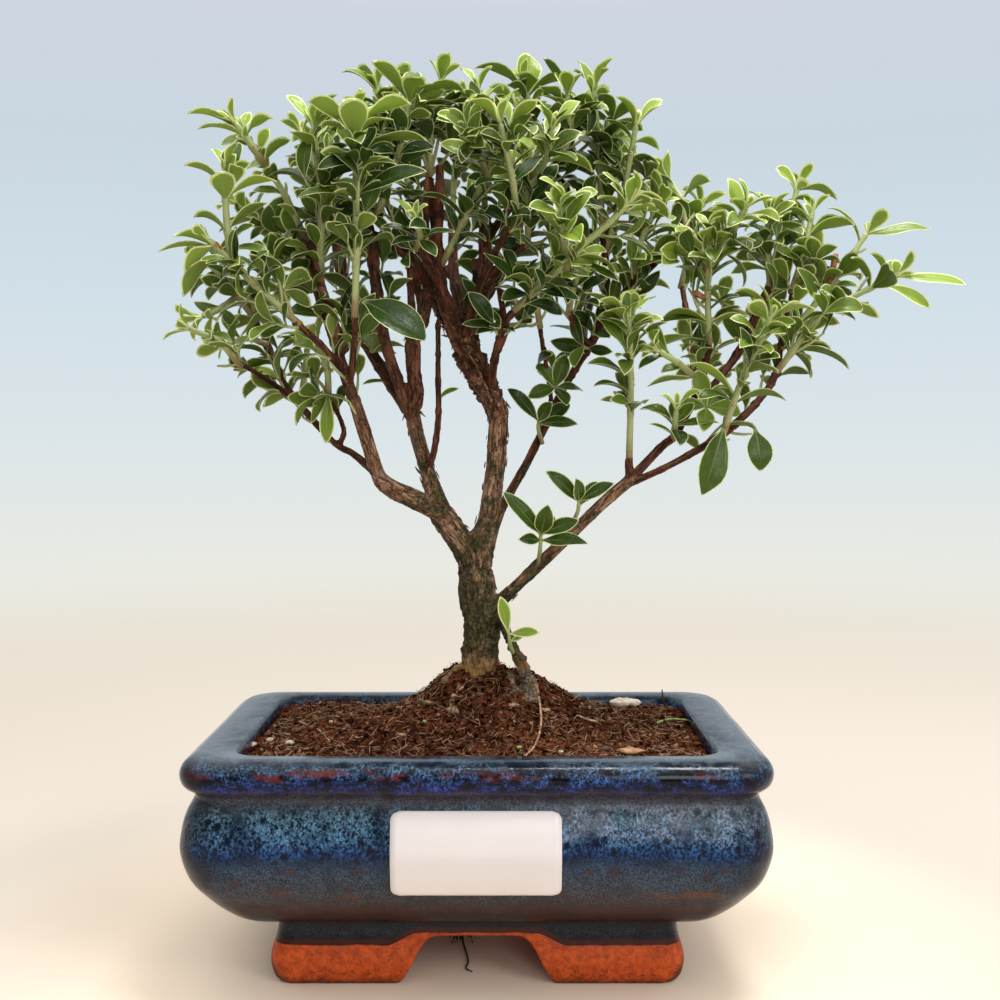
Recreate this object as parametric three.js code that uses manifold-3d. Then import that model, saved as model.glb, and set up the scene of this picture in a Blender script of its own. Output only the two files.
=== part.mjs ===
// A serissa bonsai in its glazed pot: millimetres, +Z up, seen from the front along +Y.
// The origin is the middle of the whole object's box, on the surface that the feet stand on.
import * as THREE from 'three';
import { mergeVertices } from 'three/addons/utils/BufferGeometryUtils.js';
import Module from 'manifold-3d';

const wasm = await Module();
wasm.setup();

// ---- driving dimensions -------------------------------------------------------------------

const GAP = 0.3; // clearance between pieces that touch
const POT_HALF_WIDTH = 89;
const POT_HALF_DEPTH = 56;
const POT_HEIGHT = 74;
const POT_CORNER = 13; // radius of the upright corners, at the widest
const CORNER_STEPS = 4; // facets round each upright corner
const BELLY_WIDEST = 45; // height of the belly's widest outline
const UNDERSIDE_TAPER = 0.8; // below it the long sides stand in less than the short ones
const LIP_WIDTH = 16.5; // flat lip on the two short sides
const LIP_DEPTH = 11.5; // flat lip on the two long sides
const FLOOR_TOP = 26;
const FLOOR_BOTTOM = 19;
const FOOT_HALF_WIDTH = 64.5;
const FOOT_HALF_DEPTH = 36.5;
const FOOT_WALL = 10;
// Arches in the foot: half width at the bottom, half width at the crown, height of the crown.
const LONG_SIDE_ARCH = [25, 14.5, 14.8];
const SHORT_SIDE_ARCH = [13, 7, 12];
const DRAIN_RADIUS = 7;
const MESH_SIZE = 24; // square of plastic net over the drain hole
const MESH_THICKNESS = 1;
const SOIL_EDGE_HEIGHT = 71;
const MOUND_HEIGHT = 22; // rise of the soil round the trunk
const MOUND_SPREAD = 26;
const MOUND_SHIFT = 3; // the mound is a little to the right of the trunk
const SOIL_BUMP = 1.6; // unevenness of the surface
const STONE = { x: 52, y: 34, halfSizes: [5.5, 3.2, 1.8], seed: 5 };
const BARK_FLAKE = { x: 47, y: -36, halfSizes: [4.5, 2.6, 0.9], seed: 9 };
const LABEL_WIDTH = 50;
const LABEL_HEIGHT = 25;
const LABEL_BOTTOM = 34.7;
const LABEL_CORNER = 2.5;
const LABEL_THICKNESS = 0.4;
const STEM_RADIUS = 1.4; // a green stem where it leaves the wood
const STEM_TIP_RADIUS = 1.1;
const STEM_STEP = 16; // length of one straight stretch of a green stem
const LEAF_LENGTH = 15;
const LEAF_WIDTH_RATIO = 0.45;
const LEAF_CREVICE = 0.04; // a leaf is tested this much larger than it is, so neighbours never touch
const LEAF_TRIES = 8;
const LEAF_ROOT_DEPTH = 0.6; // how far a leaf's root reaches past the middle of its stem
const LEAF_FOLD = 0.25; // rise of a leaf's margins over its midrib, as a share of its half width
// A leaf's sections: share of its length, share of its width, depth of the keel under the midrib.
const LEAF_SECTIONS = [
  [0.42, 0.92, 1.3],
  [0.76, 0.88, 0.9],
  [1, 0, 0],
];
const NODE_SPACING = 7.2; // between leaf pairs, next to a shoot's tip
const NODE_SPACING_GROWTH = 1.2; // each next pair stands this much further from the one above

// How far in from the widest outline, and how high: the pot's outside from under the belly to the lip.
const BELLY_PROFILE = [
  [28, 19.5],
  [17.5, 22.5],
  [11.5, 26.5],
  [6.5, 31.5],
  [2.4, 37],
  [0, BELLY_WIDEST],
  [0.5, 52],
  [1.8, 57],
  [3.8, 61],
];
// The same for the rolled rim, above a shallow groove.
const RIM_PROFILE = [
  [3.4, 63],
  [0.8, 65.5],
  [0, 69],
  [1.2, 72],
  [4.2, POT_HEIGHT],
];
// The foot: how far in from its widest outline, corner radius, height.
const FOOT_PROFILE = [
  [2, 5, 0],
  [0.7, 6, 2.5],
  [0, 6, 8],
  [1.8, 6, 15],
  [2.5, 5, 22],
];
// The pot's inside: how far in from the lip's inner edge, corner radius, height.
const CAVITY_PROFILE = [
  [10, 5, FLOOR_TOP],
  [4.5, 6, FLOOR_TOP + 3],
  [1.5, 7, FLOOR_TOP + 10],
  [0.5, 8, 66],
];
const LIP_INNER_EDGE = [
  [0, 8, POT_HEIGHT - 2],
  [-1.5, 9, POT_HEIGHT + 1],
];
// The soil's surface: each ring's share of the way from the middle to the pot's inner wall.
const SOIL_RINGS = [1, 0.86, 0.7, 0.54, 0.38, 0.24, 0.12, 0.02];

// ---- wood: x, y, z of the middle line, then the radius ------------------------------------

// Sides of a branch whose thickest radius is over the first number.
const ROD_SIDES = [
  [5.5, 10],
  [2.6, 7],
  [1.5, 5],
  [0, 4],
];

const BRANCHES = {
  trunk: [
    [-1, 0, 58, 3.0], [-1, 0, 66, 6.6], [-1, 0, 77, 7.2], [0, 0, 84, 6.5], [0, 0, 92, 5.6],
    [1, 0, 101, 5.9], [1, 0, 108, 6.3], [0, 0, 115, 6.2], [-1, 0, 122, 6.1], [-2, 0, 129, 4.6],
  ],
  left_fork: [[-1, 0, 125, 5.0], [-5, -1, 133, 4.4], [-9, -2, 139, 4.3], [-13, -3, 145, 4.0]],
  left_main: [
    [-11, -3, 142, 3.8], [-14, -3, 149, 3.2], [-16, -2, 155, 2.8], [-18, 0, 161, 2.5],
    [-21, -1, 172, 2.5], [-22, -2, 178, 2.5],
  ],
  left_mid: [
    [-22, -2, 176, 2.1], [-20, -5, 183, 1.8], [-21, -7, 190, 1.8], [-21, -8, 202, 2.1],
    [-18, -6, 208, 1.7], [-16, -2, 221, 1.5],
  ],
  left_mid_twig: [[-16, -3, 218, 1.4], [-20, -6, 226, 1.2], [-25, -10, 231, 1.1], [-32, -17, 238, 1.0]],
  left_dark: [
    [-22, -2, 176, 1.9], [-28, 4, 185, 1.7], [-32, 8, 191, 1.7], [-40, 13, 204, 1.4],
    [-47, 16, 222, 1.2], [-50, 16, 242, 1.1],
  ],
  left_inner: [
    [-23, -2, 176, 1.4], [-26, -8, 187, 1.2], [-30, -13, 201, 1.2], [-33, -13, 221, 1.2],
    [-35, -12, 237, 1.1],
  ],
  low_left: [
    [-12, -3, 144, 3.3], [-19, -7, 148, 3.1], [-30, -12, 154, 2.6], [-33, -14, 160, 2.0],
    [-37, -18, 174, 1.9], [-41, -21, 187, 1.6], [-45, -22, 200, 1.4], [-50, -20, 215, 1.5],
    [-52, -18, 224, 1.5], [-55, -16, 232, 1.3],
  ],
  far_left: [[-41, -21, 187, 1.1], [-46, -25, 195, 1.0], [-51, -28, 200, 1.0], [-56, -31, 204.5, 1.1]],
  front_twig: [[-40, -21, 186, 1.0], [-38, -27, 197, 0.9], [-37, -33, 207.5, 0.9]],
  drooping: [
    [-33, -14, 158, 1.4], [-41, -8, 164, 1.1], [-47, -4, 167, 1.0], [-58, 3, 178, 1.2],
    [-66, 6, 188, 1.2], [-71, 8, 200, 1.0], [-77, 10, 211, 0.9],
  ],
  drooping_fork: [[-46, -4, 166, 0.9], [-44, -6, 172, 0.8], [-48, -12, 182.5, 0.8]],
  drooping_side: [[-61, 5, 181, 1.1], [-67, 2, 186, 0.9], [-78, -4, 193.5, 0.8]],
  thin_upright: [
    [-18, 0, 158, 1.3], [-15, -5, 163, 1.1], [-13, -9, 175, 1.0], [-13, -10, 189, 0.9],
    [-13, -9, 207, 0.8],
  ],
  centre: [
    [-1, 0, 125, 5.2], [1, 0, 135, 4.4], [3, 0, 142, 3.4], [5, -2, 155, 3.3], [6, -3, 166, 3.3],
    [6, -3, 178, 3.5], [1, 0, 188, 3.8], [-4, 2, 198, 4.4], [-5, 2, 206, 4.0],
  ],
  centre_stem: [
    [-5, 2, 200, 3.0], [-10, -3, 210, 2.0], [-12, -6, 217, 1.7], [-13, -8, 231, 1.4],
    [-16, -6, 253, 1.2],
  ],
  right_stem: [
    [-4, 2, 201, 3.0], [-1, 3, 212, 2.2], [2, 4, 221, 2.0], [2, 4, 237, 1.7], [2, 3, 244, 1.5],
  ],
  left_stem: [[-6, 3, 201, 2.7], [-14, 8, 214, 2.4], [-19, 15, 231, 1.7], [-24, 18, 249, 1.4]],
  back_stem: [[-5, 3, 203, 2.4], [-7, 14, 215, 1.9], [-9, 23, 226, 1.8], [-10, 35, 248, 1.5]],
  right_twig: [[4, -2, 183, 1.6], [5, -7, 193, 1.3], [8, -17, 204, 1.1], [12.5, -23.5, 209.5, 1.1]],
  middle_right: [
    [2, 1, 128, 2.0], [7, 8, 144, 1.6], [16, 15, 160, 1.4], [23, 18, 174, 1.4], [30, 18, 188, 1.2],
    [38, 16, 201, 1.4], [46, 12, 214, 1.4], [59, 6, 227.5, 0.9],
  ],
  middle_upright: [[25, 18, 178, 1.0], [24, 13, 186, 0.8], [20, 4, 207.5, 0.8]],
  top_right_stem: [[39, 15, 203, 1.3], [43, 12, 217, 1.2], [42, 8, 234, 1.2], [41, 6, 242, 1.1]],
  right_arm: [
    [1, 0, 110, 3.2], [8, -3, 116, 2.2], [15, -6, 123, 2.0], [30, -12, 138, 1.8], [40, -14, 148, 1.8],
    [49, -16, 156, 1.9],
  ],
  right_arm_upper: [
    [48, -16, 155, 1.5], [59, -11, 166, 1.3], [63, -9, 169, 1.3], [67, -7, 175, 1.2],
    [73, -5, 188, 1.2], [75, -6, 199.5, 1.2],
  ],
  right_arm_lower: [
    [47, -15, 154, 1.4], [54, -18, 157, 1.1], [64, -19, 162, 1.1], [79, -17, 171, 1.3],
    [92, -11, 183, 1.1], [97, -8, 191, 1.3],
  ],
  right_inner: [
    [71, -6, 182, 1.1], [78, 0, 187, 1.1], [87, 6, 198, 1.4], [94, 6, 213, 1.5], [97, 5, 219.5, 1.3],
  ],
  right_far: [[97, -8, 189, 1.2], [99, -3, 199, 1.0], [102, 0, 209, 1.0], [104, 2, 218.5, 0.9]],
  root_right: [
    [6, -2, 114, 1.6], [9, -6, 106, 1.4], [11, -8, 101, 1.4], [14, -9, 95, 1.6], [16, -9, 88, 2.0],
    [17, -8, 75, 2.2],
  ],
  crown_left_back: [[-38, 12, 200, 1.4], [-45, 24, 218, 1.2], [-48, 32, 229, 1.1], [-51, 36, 242, 1.1]],
  crown_back_left: [[-9, 23, 225, 1.6], [-18, 29, 232, 1.4], [-27, 36, 241, 1.3], [-34, 42, 254, 1.1]],
  crown_back_right: [[-5, 2, 205, 2.0], [5, 20, 222, 1.6], [12, 33, 236, 1.4], [15, 40, 250, 1.3]],
  crown_front: [[-10, -3, 210, 1.5], [-12, -14, 218, 1.1], [-16, -24, 224, 1.1], [-18, -30, 227, 0.9]],
  crown_front_right: [[-4, 0, 202, 2.0], [-1, -10, 214, 1.3], [4, -20, 224, 1.1], [12, -31, 237, 0.9]],
  crown_right: [[2, 4, 219, 1.7], [9, 2, 228, 1.3], [16, -6, 232, 1.2]],
  crown_top_right: [[2, 4, 233, 1.5], [9, 6, 244, 1.2], [22, 8, 255.5, 1.0]],
  middle_back: [[33, 17, 192, 1.2], [37, 28, 211, 1.1], [41, 44, 239.5, 1.0]],
  far_back_right: [[57, 7, 226, 1.0], [66, 16, 236, 0.9], [72, 24, 241.5, 0.9]],
  right_back: [[71, -7, 181, 1.1], [72, 8, 196, 1.0], [71, 28, 223, 0.9]],
  arm_stub: [[49, -16, 155, 1.6], [48, -17, 160, 1.3], [48, -18, 163.5, 1.1]],
  middle_side: [[38, 16, 200, 1.2], [32, 8, 207, 0.9], [30, 2, 211.5, 0.8]],
  middle_fork: [[48, 11, 216, 1.1], [52, 6, 222, 1.0], [52, 4, 225.5, 0.8]],
};

// ---- green shoots: each stem is three points, and a shoot may have side stems --------------

const SHOOTS = {
  left_tip: [
    [[-56, -31, 205], [-66, -34, 214], [-80, -38, 228]],
    [[-74, -36, 222], [-75, -37, 236], [-75, -38, 249]],
  ],
  left_middle: [
    [[-78, 10, 212], [-85, 12, 221], [-94, 14, 230]],
    [[-82, 11, 217], [-87, 6, 212], [-92, 2, 209]],
  ],
  left_low: [[[-79, -5, 194], [-84, -8, 200], [-93, -11, 204]]],
  left_hanging: [[[-48, -13, 183], [-48, -16, 191], [-51, -18, 199]]],
  left_under: [[[-73, 8, 201], [-79, 14, 203], [-89, 20, 201]]],
  left_inner_low: [[[-60, 7, 182], [-59, 9, 190], [-58, 9, 200]]],
  left_stub: [
    [[-55, -17, 233], [-61, -20, 246], [-70, -25, 259]],
    [[-67, -24, 255], [-71, -27, 261], [-74, -29, 265]],
  ],
  left_upright: [[[-49, -23, 217], [-48, -26, 240], [-50, -28, 264]]],
  left_front: [[[-37, -33, 208], [-36, -37, 229], [-36, -40, 263]]],
  left_top: [[[-35, -12, 238], [-30, -12, 261], [-32, -12, 280]]],
  left_centre_top: [[[-32, -17, 239], [-25, -20, 256], [-21, -23, 273]]],
  left_back: [[[-50, 16, 243], [-55, 20, 259], [-62, 24, 275]]],
  left_far_back: [[[-51, 36, 243], [-57, 42, 260], [-60, 46, 275]]],
  left_side_back: [[[-52, 26, 224], [-68, 30, 238], [-86, 32, 252]]],
  crown_back_left: [[[-34, 42, 255], [-38, 47, 273], [-42, 50, 288]]],
  crown_left: [[[-24, 18, 250], [-26, 21, 269], [-29, 24, 287]]],
  crown_centre_left: [[[-16, -6, 254], [-15, -8, 270], [-12, -9, 283]]],
  crown_diagonal: [
    [[-11, -10, 226], [-3, -20, 239], [4, -27, 251]],
    [[3, -26, 249], [1, -30, 256], [-3, -34, 262]],
  ],
  crown_rosette: [[[-18, -31, 228], [-17, -34, 230], [-18, -37, 234]]],
  crown_centre: [[[2, 3, 245], [1, -2, 264], [0, -6, 281]]],
  crown_front: [[[12, -31, 238], [10, -36, 250], [7, -40, 262]]],
  crown_back: [[[-10, 35, 249], [-9, 42, 270], [-7, 46, 290]]],
  crown_back_right: [[[15, 40, 251], [15, 45, 275], [13, 48, 290]]],
  crown_stub: [
    [[16, -7, 233], [16, -12, 244], [16, -16, 255]],
    [[16, -14, 251], [21, -20, 255], [23, -25, 264]],
  ],
  crown_peak: [[[22, 8, 256], [19, 8, 272], [15, 8, 287]]],
  crown_peak_right: [[[15, 7, 251], [29, 2, 265], [29, -4, 280]]],
  right_peak: [[[41, 6, 242.5], [40, 6, 262], [38, 4, 284]]],
  right_shoulder: [[[43, 8, 233], [48, 0, 252], [51, -6, 270]]],
  right_shoulder_back: [[[41, 44, 240], [43, 50, 261], [47, 52, 278]]],
  front_stub: [
    [[13, -24, 210], [21, -29, 217], [30, -34, 224]],
    [[27, -33, 222], [26, -37, 230], [25, -40, 236]],
    [[28, -33, 224], [37, -35, 231], [46, -37, 239]],
  ],
  right_middle: [[[52, 4, 226], [54, 2, 235], [59, 0, 245]]],
  right_middle_low: [[[59, 6, 228], [64, 2, 230], [70, -2, 229]]],
  right_middle_back: [[[72, 24, 242], [71, 28, 252], [67, 32, 260]]],
  right_back: [[[71, 28, 224], [75, 34, 238], [79, 38, 252]]],
  arm_upright: [[[48, -18, 164], [48, -22, 186], [47, -25, 206]]],
  arm_stub_shoot: [
    [[75, -6, 200], [74, -9, 217], [74, -11, 234]],
    [[74, -10, 224], [80, -16, 233], [84, -21, 241]],
  ],
  arm_inner: [[[97, 5, 220], [96, 3, 232], [96, 1, 243]]],
  arm_top: [[[95, 7, 214], [103, 14, 236], [109, 18, 255]]],
  arm_front: [[[78, -18, 171], [82, -24, 186], [90, -30, 206]]],
  arm_long: [[[97, -9, 191], [110, -15, 208], [132, -18, 220]]],
  arm_tip: [[[102, -3, 203], [115, 1, 218], [129, 4, 237]]],
  arm_back: [[[104, 2, 219], [109, 7, 232], [112, 9, 245]]],
  arm_under: [[[88, 8, 199], [92, 18, 202], [99, 26, 210]]],
  arm_rosette: [[[63, -11, 170], [63, -14, 173], [63, -17, 178]]],
  arm_side: [[[71, -8, 188], [65, -14, 192], [57, -20, 196]]],
  middle_shoot: [[[20, 4, 208], [19, 2, 213], [17, 0, 220]]],
  middle_inner: [[[30, 2, 212], [31, -4, 218], [33, -9, 224]]],
};

// ---- rosettes and large leaves that stand clear of the crown: stem, then each leaf ---------
// A leaf is [x, y, z of its base, x, y, z of its tip, full width].

const LONE_SHOOTS = {
  sucker: {
    stem: [[12, -8.5, 97.5], [10.5, -11, 101], [9.8, -12.5, 106]],
    leaves: [
      [9.8, -12.5, 105.5, 7, -14, 118, 4.4],
      [9.8, -12.5, 105.5, 19.5, -17, 107, 3.8],
      [10.2, -11.5, 103, 14, -15, 105, 2],
    ],
  },
  low_rosette: {
    stem: [[19.5, -10, 129], [20, -13, 134], [20, -16, 139]],
    leaves: [
      [20, -16, 138, 8, -21, 152, 6],
      [20, -16, 138, 22, -24, 148, 6],
      [20, -15, 138, 32, -20, 143, 5],
      [20, -14, 136, 13, -20, 137, 4],
      [20, -14, 136, 35, -19, 136, 6],
      [20, -15, 137, 24, -2, 144, 5],
    ],
  },
  low_pair: {
    stem: [[30.5, -14, 142], [32, -16, 146], [32, -17, 149]],
    leaves: [
      [32, -17, 148.5, 22, -21, 159, 5],
      [32, -17, 148.5, 31, -24, 156, 4.5],
      [32, -17, 148.5, 43, -20, 155, 4.5],
      [32, -17, 147, 39, -8, 155, 4.5],
    ],
  },
  middle_rosette: {
    stem: [[21, 14, 169], [20, 11, 172], [20, 9, 175]],
    leaves: [
      [20, 9, 174.5, 10, 5, 186, 5],
      [20, 9, 174.5, 24, 3, 181, 5],
      [20, 9, 174, 33, 4, 174, 5],
      [20, 10, 173, 31, 12, 181, 5.5],
    ],
  },
};
const LARGE_LEAVES = {
  left_front: [[-37, -33.5, 211, -15, -40, 200, 12]],
  arm_front: [
    [79.2, -19.8, 175.5, 75, -26, 151, 9],
    [79.8, -21, 178, 93, -27, 160, 8.5],
  ],
  arm_long: [
    [131.5, -18, 219.5, 154, -20, 217, 6],
    [127, -17.6, 217.5, 143, -20, 210, 5],
  ],
  arm_tip: [[128.5, 4, 236.5, 146, 1, 238, 6]],
  crown_diagonal: [[2, -28, 253, -11, -33, 264, 6]],
};

// ---- general shape helpers -----------------------------------------------------------------

function seededRandom(seed) {
  let state = seed;
  return () => {
    state = (state * 16807) % 2147483647;
    return state / 2147483647;
  };
}

/** Turns a closed geometry into a solid that can be joined and cut. */
function solidOf(geometry) {
  const bare = geometry.clone();
  bare.deleteAttribute('normal');
  bare.deleteAttribute('uv');
  const merged = mergeVertices(bare, 1e-4);
  return new wasm.Manifold(new wasm.Mesh({
    numProp: 3,
    vertProperties: new Float32Array(merged.attributes.position.array),
    triVerts: new Uint32Array(merged.index.array),
  }));
}

/** Turns a solid back into a geometry, keeping only its largest body. */
function geometryOf(solid) {
  const bodies = solid.decompose();
  const largest = bodies.reduce((best, body) => (body.volume() > best.volume() ? body : best));
  const mesh = largest.getMesh();
  const geometry = new THREE.BufferGeometry();
  const positions = new Float32Array(mesh.vertProperties);
  geometry.setAttribute('position', new THREE.BufferAttribute(positions, 3));
  geometry.setIndex(new THREE.BufferAttribute(new Uint32Array(mesh.triVerts), 1));
  geometry.computeVertexNormals();
  return geometry;
}

/** Closed solid through rings of equally many points, each counter-clockwise seen from its far side. */
function loft(rings) {
  const count = rings[0].length;
  const positions = rings.flat().flatMap((point) => [point.x, point.y, point.z]);
  const index = [];
  for (let level = 0; level < rings.length - 1; level += 1) {
    for (let side = 0; side < count; side += 1) {
      const here = level * count + side;
      const next = level * count + ((side + 1) % count);
      index.push(here, next, next + count, here, next + count, here + count);
    }
  }
  const last = (rings.length - 1) * count;
  for (let side = 1; side < count - 1; side += 1) {
    index.push(0, side + 1, side);
    index.push(last, last + side, last + side + 1);
  }
  const geometry = new THREE.BufferGeometry();
  geometry.setAttribute('position', new THREE.Float32BufferAttribute(positions, 3));
  geometry.setIndex(index);
  return geometry;
}

/** Closed solid through rings of three points, drawn to a point before the first and after the last. */
function spindle(start, rings, end) {
  const positions = [start, ...rings.flat(), end].flatMap((point) => [point.x, point.y, point.z]);
  const last = 3 * rings.length + 1;
  const index = [];
  for (let side = 0; side < 3; side += 1) {
    const next = (side + 1) % 3;
    index.push(0, next + 1, side + 1);
    index.push(last - 3 + side, last - 3 + next, last);
    for (let level = 0; level < rings.length - 1; level += 1) {
      const here = 3 * level + side + 1;
      const beside = 3 * level + next + 1;
      index.push(here, beside, beside + 3, here, beside + 3, here + 3);
    }
  }
  const geometry = new THREE.BufferGeometry();
  geometry.setAttribute('position', new THREE.Float32BufferAttribute(positions, 3));
  geometry.setIndex(index);
  return geometry;
}

/** Rounded rectangle in a level plane, counter-clockwise from above. */
function roundedRectangle(halfWidth, halfDepth, corner, height, steps = CORNER_STEPS) {
  const ring = [];
  const centres = [[1, 1], [-1, 1], [-1, -1], [1, -1]];
  centres.forEach(([signX, signY], quarter) => {
    for (let step = 0; step <= steps; step += 1) {
      const angle = (quarter + step / steps) * (Math.PI / 2);
      ring.push(new THREE.Vector3(
        signX * (halfWidth - corner) + corner * Math.cos(angle),
        signY * (halfDepth - corner) + corner * Math.sin(angle),
        height,
      ));
    }
  });
  return ring;
}

/** Round rod whose radius changes from point to point; `grow` makes it thicker and longer. */
function rod(points, radii, sides, grow = 0) {
  const curvePoints = points.map((point) => point.clone());
  const tangents = curvePoints.map((point, i) => {
    const before = curvePoints[Math.max(i - 1, 0)];
    const after = curvePoints[Math.min(i + 1, curvePoints.length - 1)];
    return after.clone().sub(before).normalize();
  });
  const last = curvePoints.length - 1;
  curvePoints[0].addScaledVector(tangents[0], -grow);
  curvePoints[last].addScaledVector(tangents[last], grow);
  const normal = new THREE.Vector3(0.31, -0.94, 0.13);
  const rings = curvePoints.map((centre, i) => {
    normal.addScaledVector(tangents[i], -normal.dot(tangents[i])).normalize();
    const across = new THREE.Vector3().crossVectors(tangents[i], normal);
    return Array.from({ length: sides }, (_, side) => {
      const angle = (side / sides) * 2 * Math.PI;
      return centre.clone()
        .addScaledVector(normal, (radii[i] + grow) * Math.cos(angle))
        .addScaledVector(across, (radii[i] + grow) * Math.sin(angle));
    });
  });
  return solidOf(loft(rings));
}

// ---- pot ------------------------------------------------------------------------------------

function potRing(insetWidth, insetDepth, corner, height) {
  return roundedRectangle(POT_HALF_WIDTH - insetWidth, POT_HALF_DEPTH - insetDepth, corner, height);
}

function cornerAt(inset) {
  return Math.max(POT_CORNER - inset * 0.35, 5);
}

/** How much of an inset the long sides take at a height. */
function longSideShare(height) {
  return height < BELLY_WIDEST ? UNDERSIDE_TAPER : 1;
}

/** How far the faceted belly stands in from the widest outline at a height. */
function bellyInset(height) {
  const upper = BELLY_PROFILE.findIndex(([, level]) => level >= height);
  const [insetBelow, below] = BELLY_PROFILE[upper - 1];
  const [insetAbove, above] = BELLY_PROFILE[upper];
  return THREE.MathUtils.mapLinear(height, below, above, insetBelow, insetAbove);
}

/** Solid prism with an arched outline in its X-Z plane, running through the foot along Y. */
function footArch([bottomHalf, topHalf, top], length) {
  const below = -1;
  const swing = 5; // how far the sides sweep out before they turn up
  const outline = new THREE.Shape();
  outline.moveTo(-bottomHalf, below);
  outline.lineTo(bottomHalf, below);
  outline.bezierCurveTo(topHalf + swing, 4, topHalf + swing - 1, top, topHalf - 2, top);
  outline.lineTo(-topHalf + 2, top);
  outline.bezierCurveTo(-topHalf - swing + 1, top, -topHalf - swing, 4, -bottomHalf, below);
  const options = { depth: length, bevelEnabled: false, curveSegments: 5 };
  const prism = new THREE.ExtrudeGeometry(outline, options);
  prism.translate(0, 0, -length / 2);
  prism.rotateX(Math.PI / 2);
  return prism;
}

/** Hollow ring under the pot, with an arch through each side. */
function makeFoot() {
  const block = solidOf(loft(FOOT_PROFILE.map(([inset, corner, height]) => (
    roundedRectangle(FOOT_HALF_WIDTH - inset, FOOT_HALF_DEPTH - inset, corner, height)
  ))));
  const hollow = solidOf(loft([-1, FLOOR_BOTTOM].map((height) => (
    roundedRectangle(FOOT_HALF_WIDTH - FOOT_WALL, FOOT_HALF_DEPTH - FOOT_WALL, 4, height, 3)
  ))));
  const longArch = solidOf(footArch(LONG_SIDE_ARCH, 2 * POT_HALF_DEPTH));
  const shortArch = solidOf(footArch(SHORT_SIDE_ARCH, 2 * POT_HALF_WIDTH).rotateZ(Math.PI / 2));
  return block.subtract(hollow).subtract(longArch).subtract(shortArch);
}

/** Rings of the pot's inside, from its floor up, each `gap` inside the wall. */
function cavityRings(profile, gap) {
  return profile.map(([inset, corner, height]) => (
    potRing(LIP_WIDTH + inset + gap, LIP_DEPTH + inset + gap, corner, height)
  ));
}

function makePot() {
  const [lowestInset] = BELLY_PROFILE[0];
  const underside = potRing(lowestInset - 1, (lowestInset - 1) * UNDERSIDE_TAPER, 6, FLOOR_BOTTOM);
  const outside = [...BELLY_PROFILE, ...RIM_PROFILE].map(([inset, height]) => (
    potRing(inset, inset * longSideShare(height), cornerAt(inset), height)
  ));
  const body = solidOf(loft([underside, ...outside]));
  const cavity = solidOf(loft(cavityRings([...CAVITY_PROFILE, ...LIP_INNER_EDGE], 0)));
  const drain = new THREE.CylinderGeometry(DRAIN_RADIUS, DRAIN_RADIUS, FLOOR_TOP, 16);
  drain.rotateX(Math.PI / 2);
  drain.translate(0, 0, FLOOR_TOP);
  return body.add(makeFoot()).subtract(cavity).subtract(solidOf(drain));
}

function makeDrainMesh() {
  const half = MESH_SIZE / 2;
  const outline = new THREE.Shape([
    new THREE.Vector2(-half, -half),
    new THREE.Vector2(half, -half),
    new THREE.Vector2(half, half),
    new THREE.Vector2(-half, half),
  ]);
  const pitch = MESH_SIZE / 4;
  for (let column = -1; column <= 1; column += 1) {
    for (let row = -1; row <= 1; row += 1) {
      const hole = new THREE.Path();
      hole.absarc(column * pitch, row * pitch, pitch * 0.34, 0, 2 * Math.PI, true);
      outline.holes.push(hole);
    }
  }
  const options = { depth: MESH_THICKNESS, bevelEnabled: false, curveSegments: 2 };
  const plate = new THREE.ExtrudeGeometry(outline, options);
  plate.translate(0, 0, FLOOR_TOP + GAP);
  return solidOf(plate);
}

// ---- soil and what lies on it ---------------------------------------------------------------

function soilHeight(x, y, edge) {
  const distance = Math.hypot(x - MOUND_SHIFT, 1.35 * y);
  const mound = MOUND_HEIGHT / (1 + (distance / MOUND_SPREAD) ** 2);
  return SOIL_EDGE_HEIGHT + mound * (1 - edge ** 4);
}

function soilSurfaceRing(share, random) {
  const wallGap = 2 * GAP;
  const halfWidth = POT_HALF_WIDTH - LIP_WIDTH - wallGap;
  const halfDepth = POT_HALF_DEPTH - LIP_DEPTH - wallGap;
  return roundedRectangle(halfWidth, halfDepth, 8, 0).map((point) => {
    const x = point.x * share;
    const y = point.y * share;
    const bump = share > 0.1 && share < 1 ? SOIL_BUMP * (random() - 0.5) : 0;
    return new THREE.Vector3(x, y, soilHeight(x, y, share) + bump);
  });
}

/** The soil fills the pot round the wood, the net over the drain hole and the things lying on it. */
function makeSoil(woodClearance, thingsOnTop) {
  const random = seededRandom(11);
  const wall = cavityRings(CAVITY_PROFILE, GAP);
  wall[0].forEach((point) => point.setZ(FLOOR_TOP + GAP));
  const surface = SOIL_RINGS.map((share) => soilSurfaceRing(share, random));
  const pocketSize = MESH_SIZE + 2 * GAP;
  const pocket = new THREE.BoxGeometry(pocketSize, pocketSize, 2 * (MESH_THICKNESS + GAP));
  pocket.translate(0, 0, FLOOR_TOP + GAP);
  return solidOf(loft([...wall, ...surface]))
    .subtract(solidOf(pocket))
    .subtract(woodClearance)
    .subtract(thingsOnTop);
}

/** Rounded lump resting in the soil's surface, squashed to its half sizes; `grow` makes it larger. */
function makeLump({ x, y, halfSizes, seed }, grow = 0) {
  const random = seededRandom(seed);
  const ball = new THREE.IcosahedronGeometry(1, 1);
  ball.deleteAttribute('normal');
  ball.deleteAttribute('uv');
  const lump = mergeVertices(ball);
  const position = lump.attributes.position;
  for (let i = 0; i < position.count; i += 1) {
    const swell = 0.85 + 0.3 * random();
    position.setXYZ(i, position.getX(i) * swell, position.getY(i) * swell, position.getZ(i) * swell);
  }
  lump.scale(...halfSizes.map((halfSize) => halfSize + grow));
  lump.translate(x, y, soilHeight(x, y, 0.8) + halfSizes[2] * 0.5);
  return solidOf(lump);
}

// ---- label ----------------------------------------------------------------------------------

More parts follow.
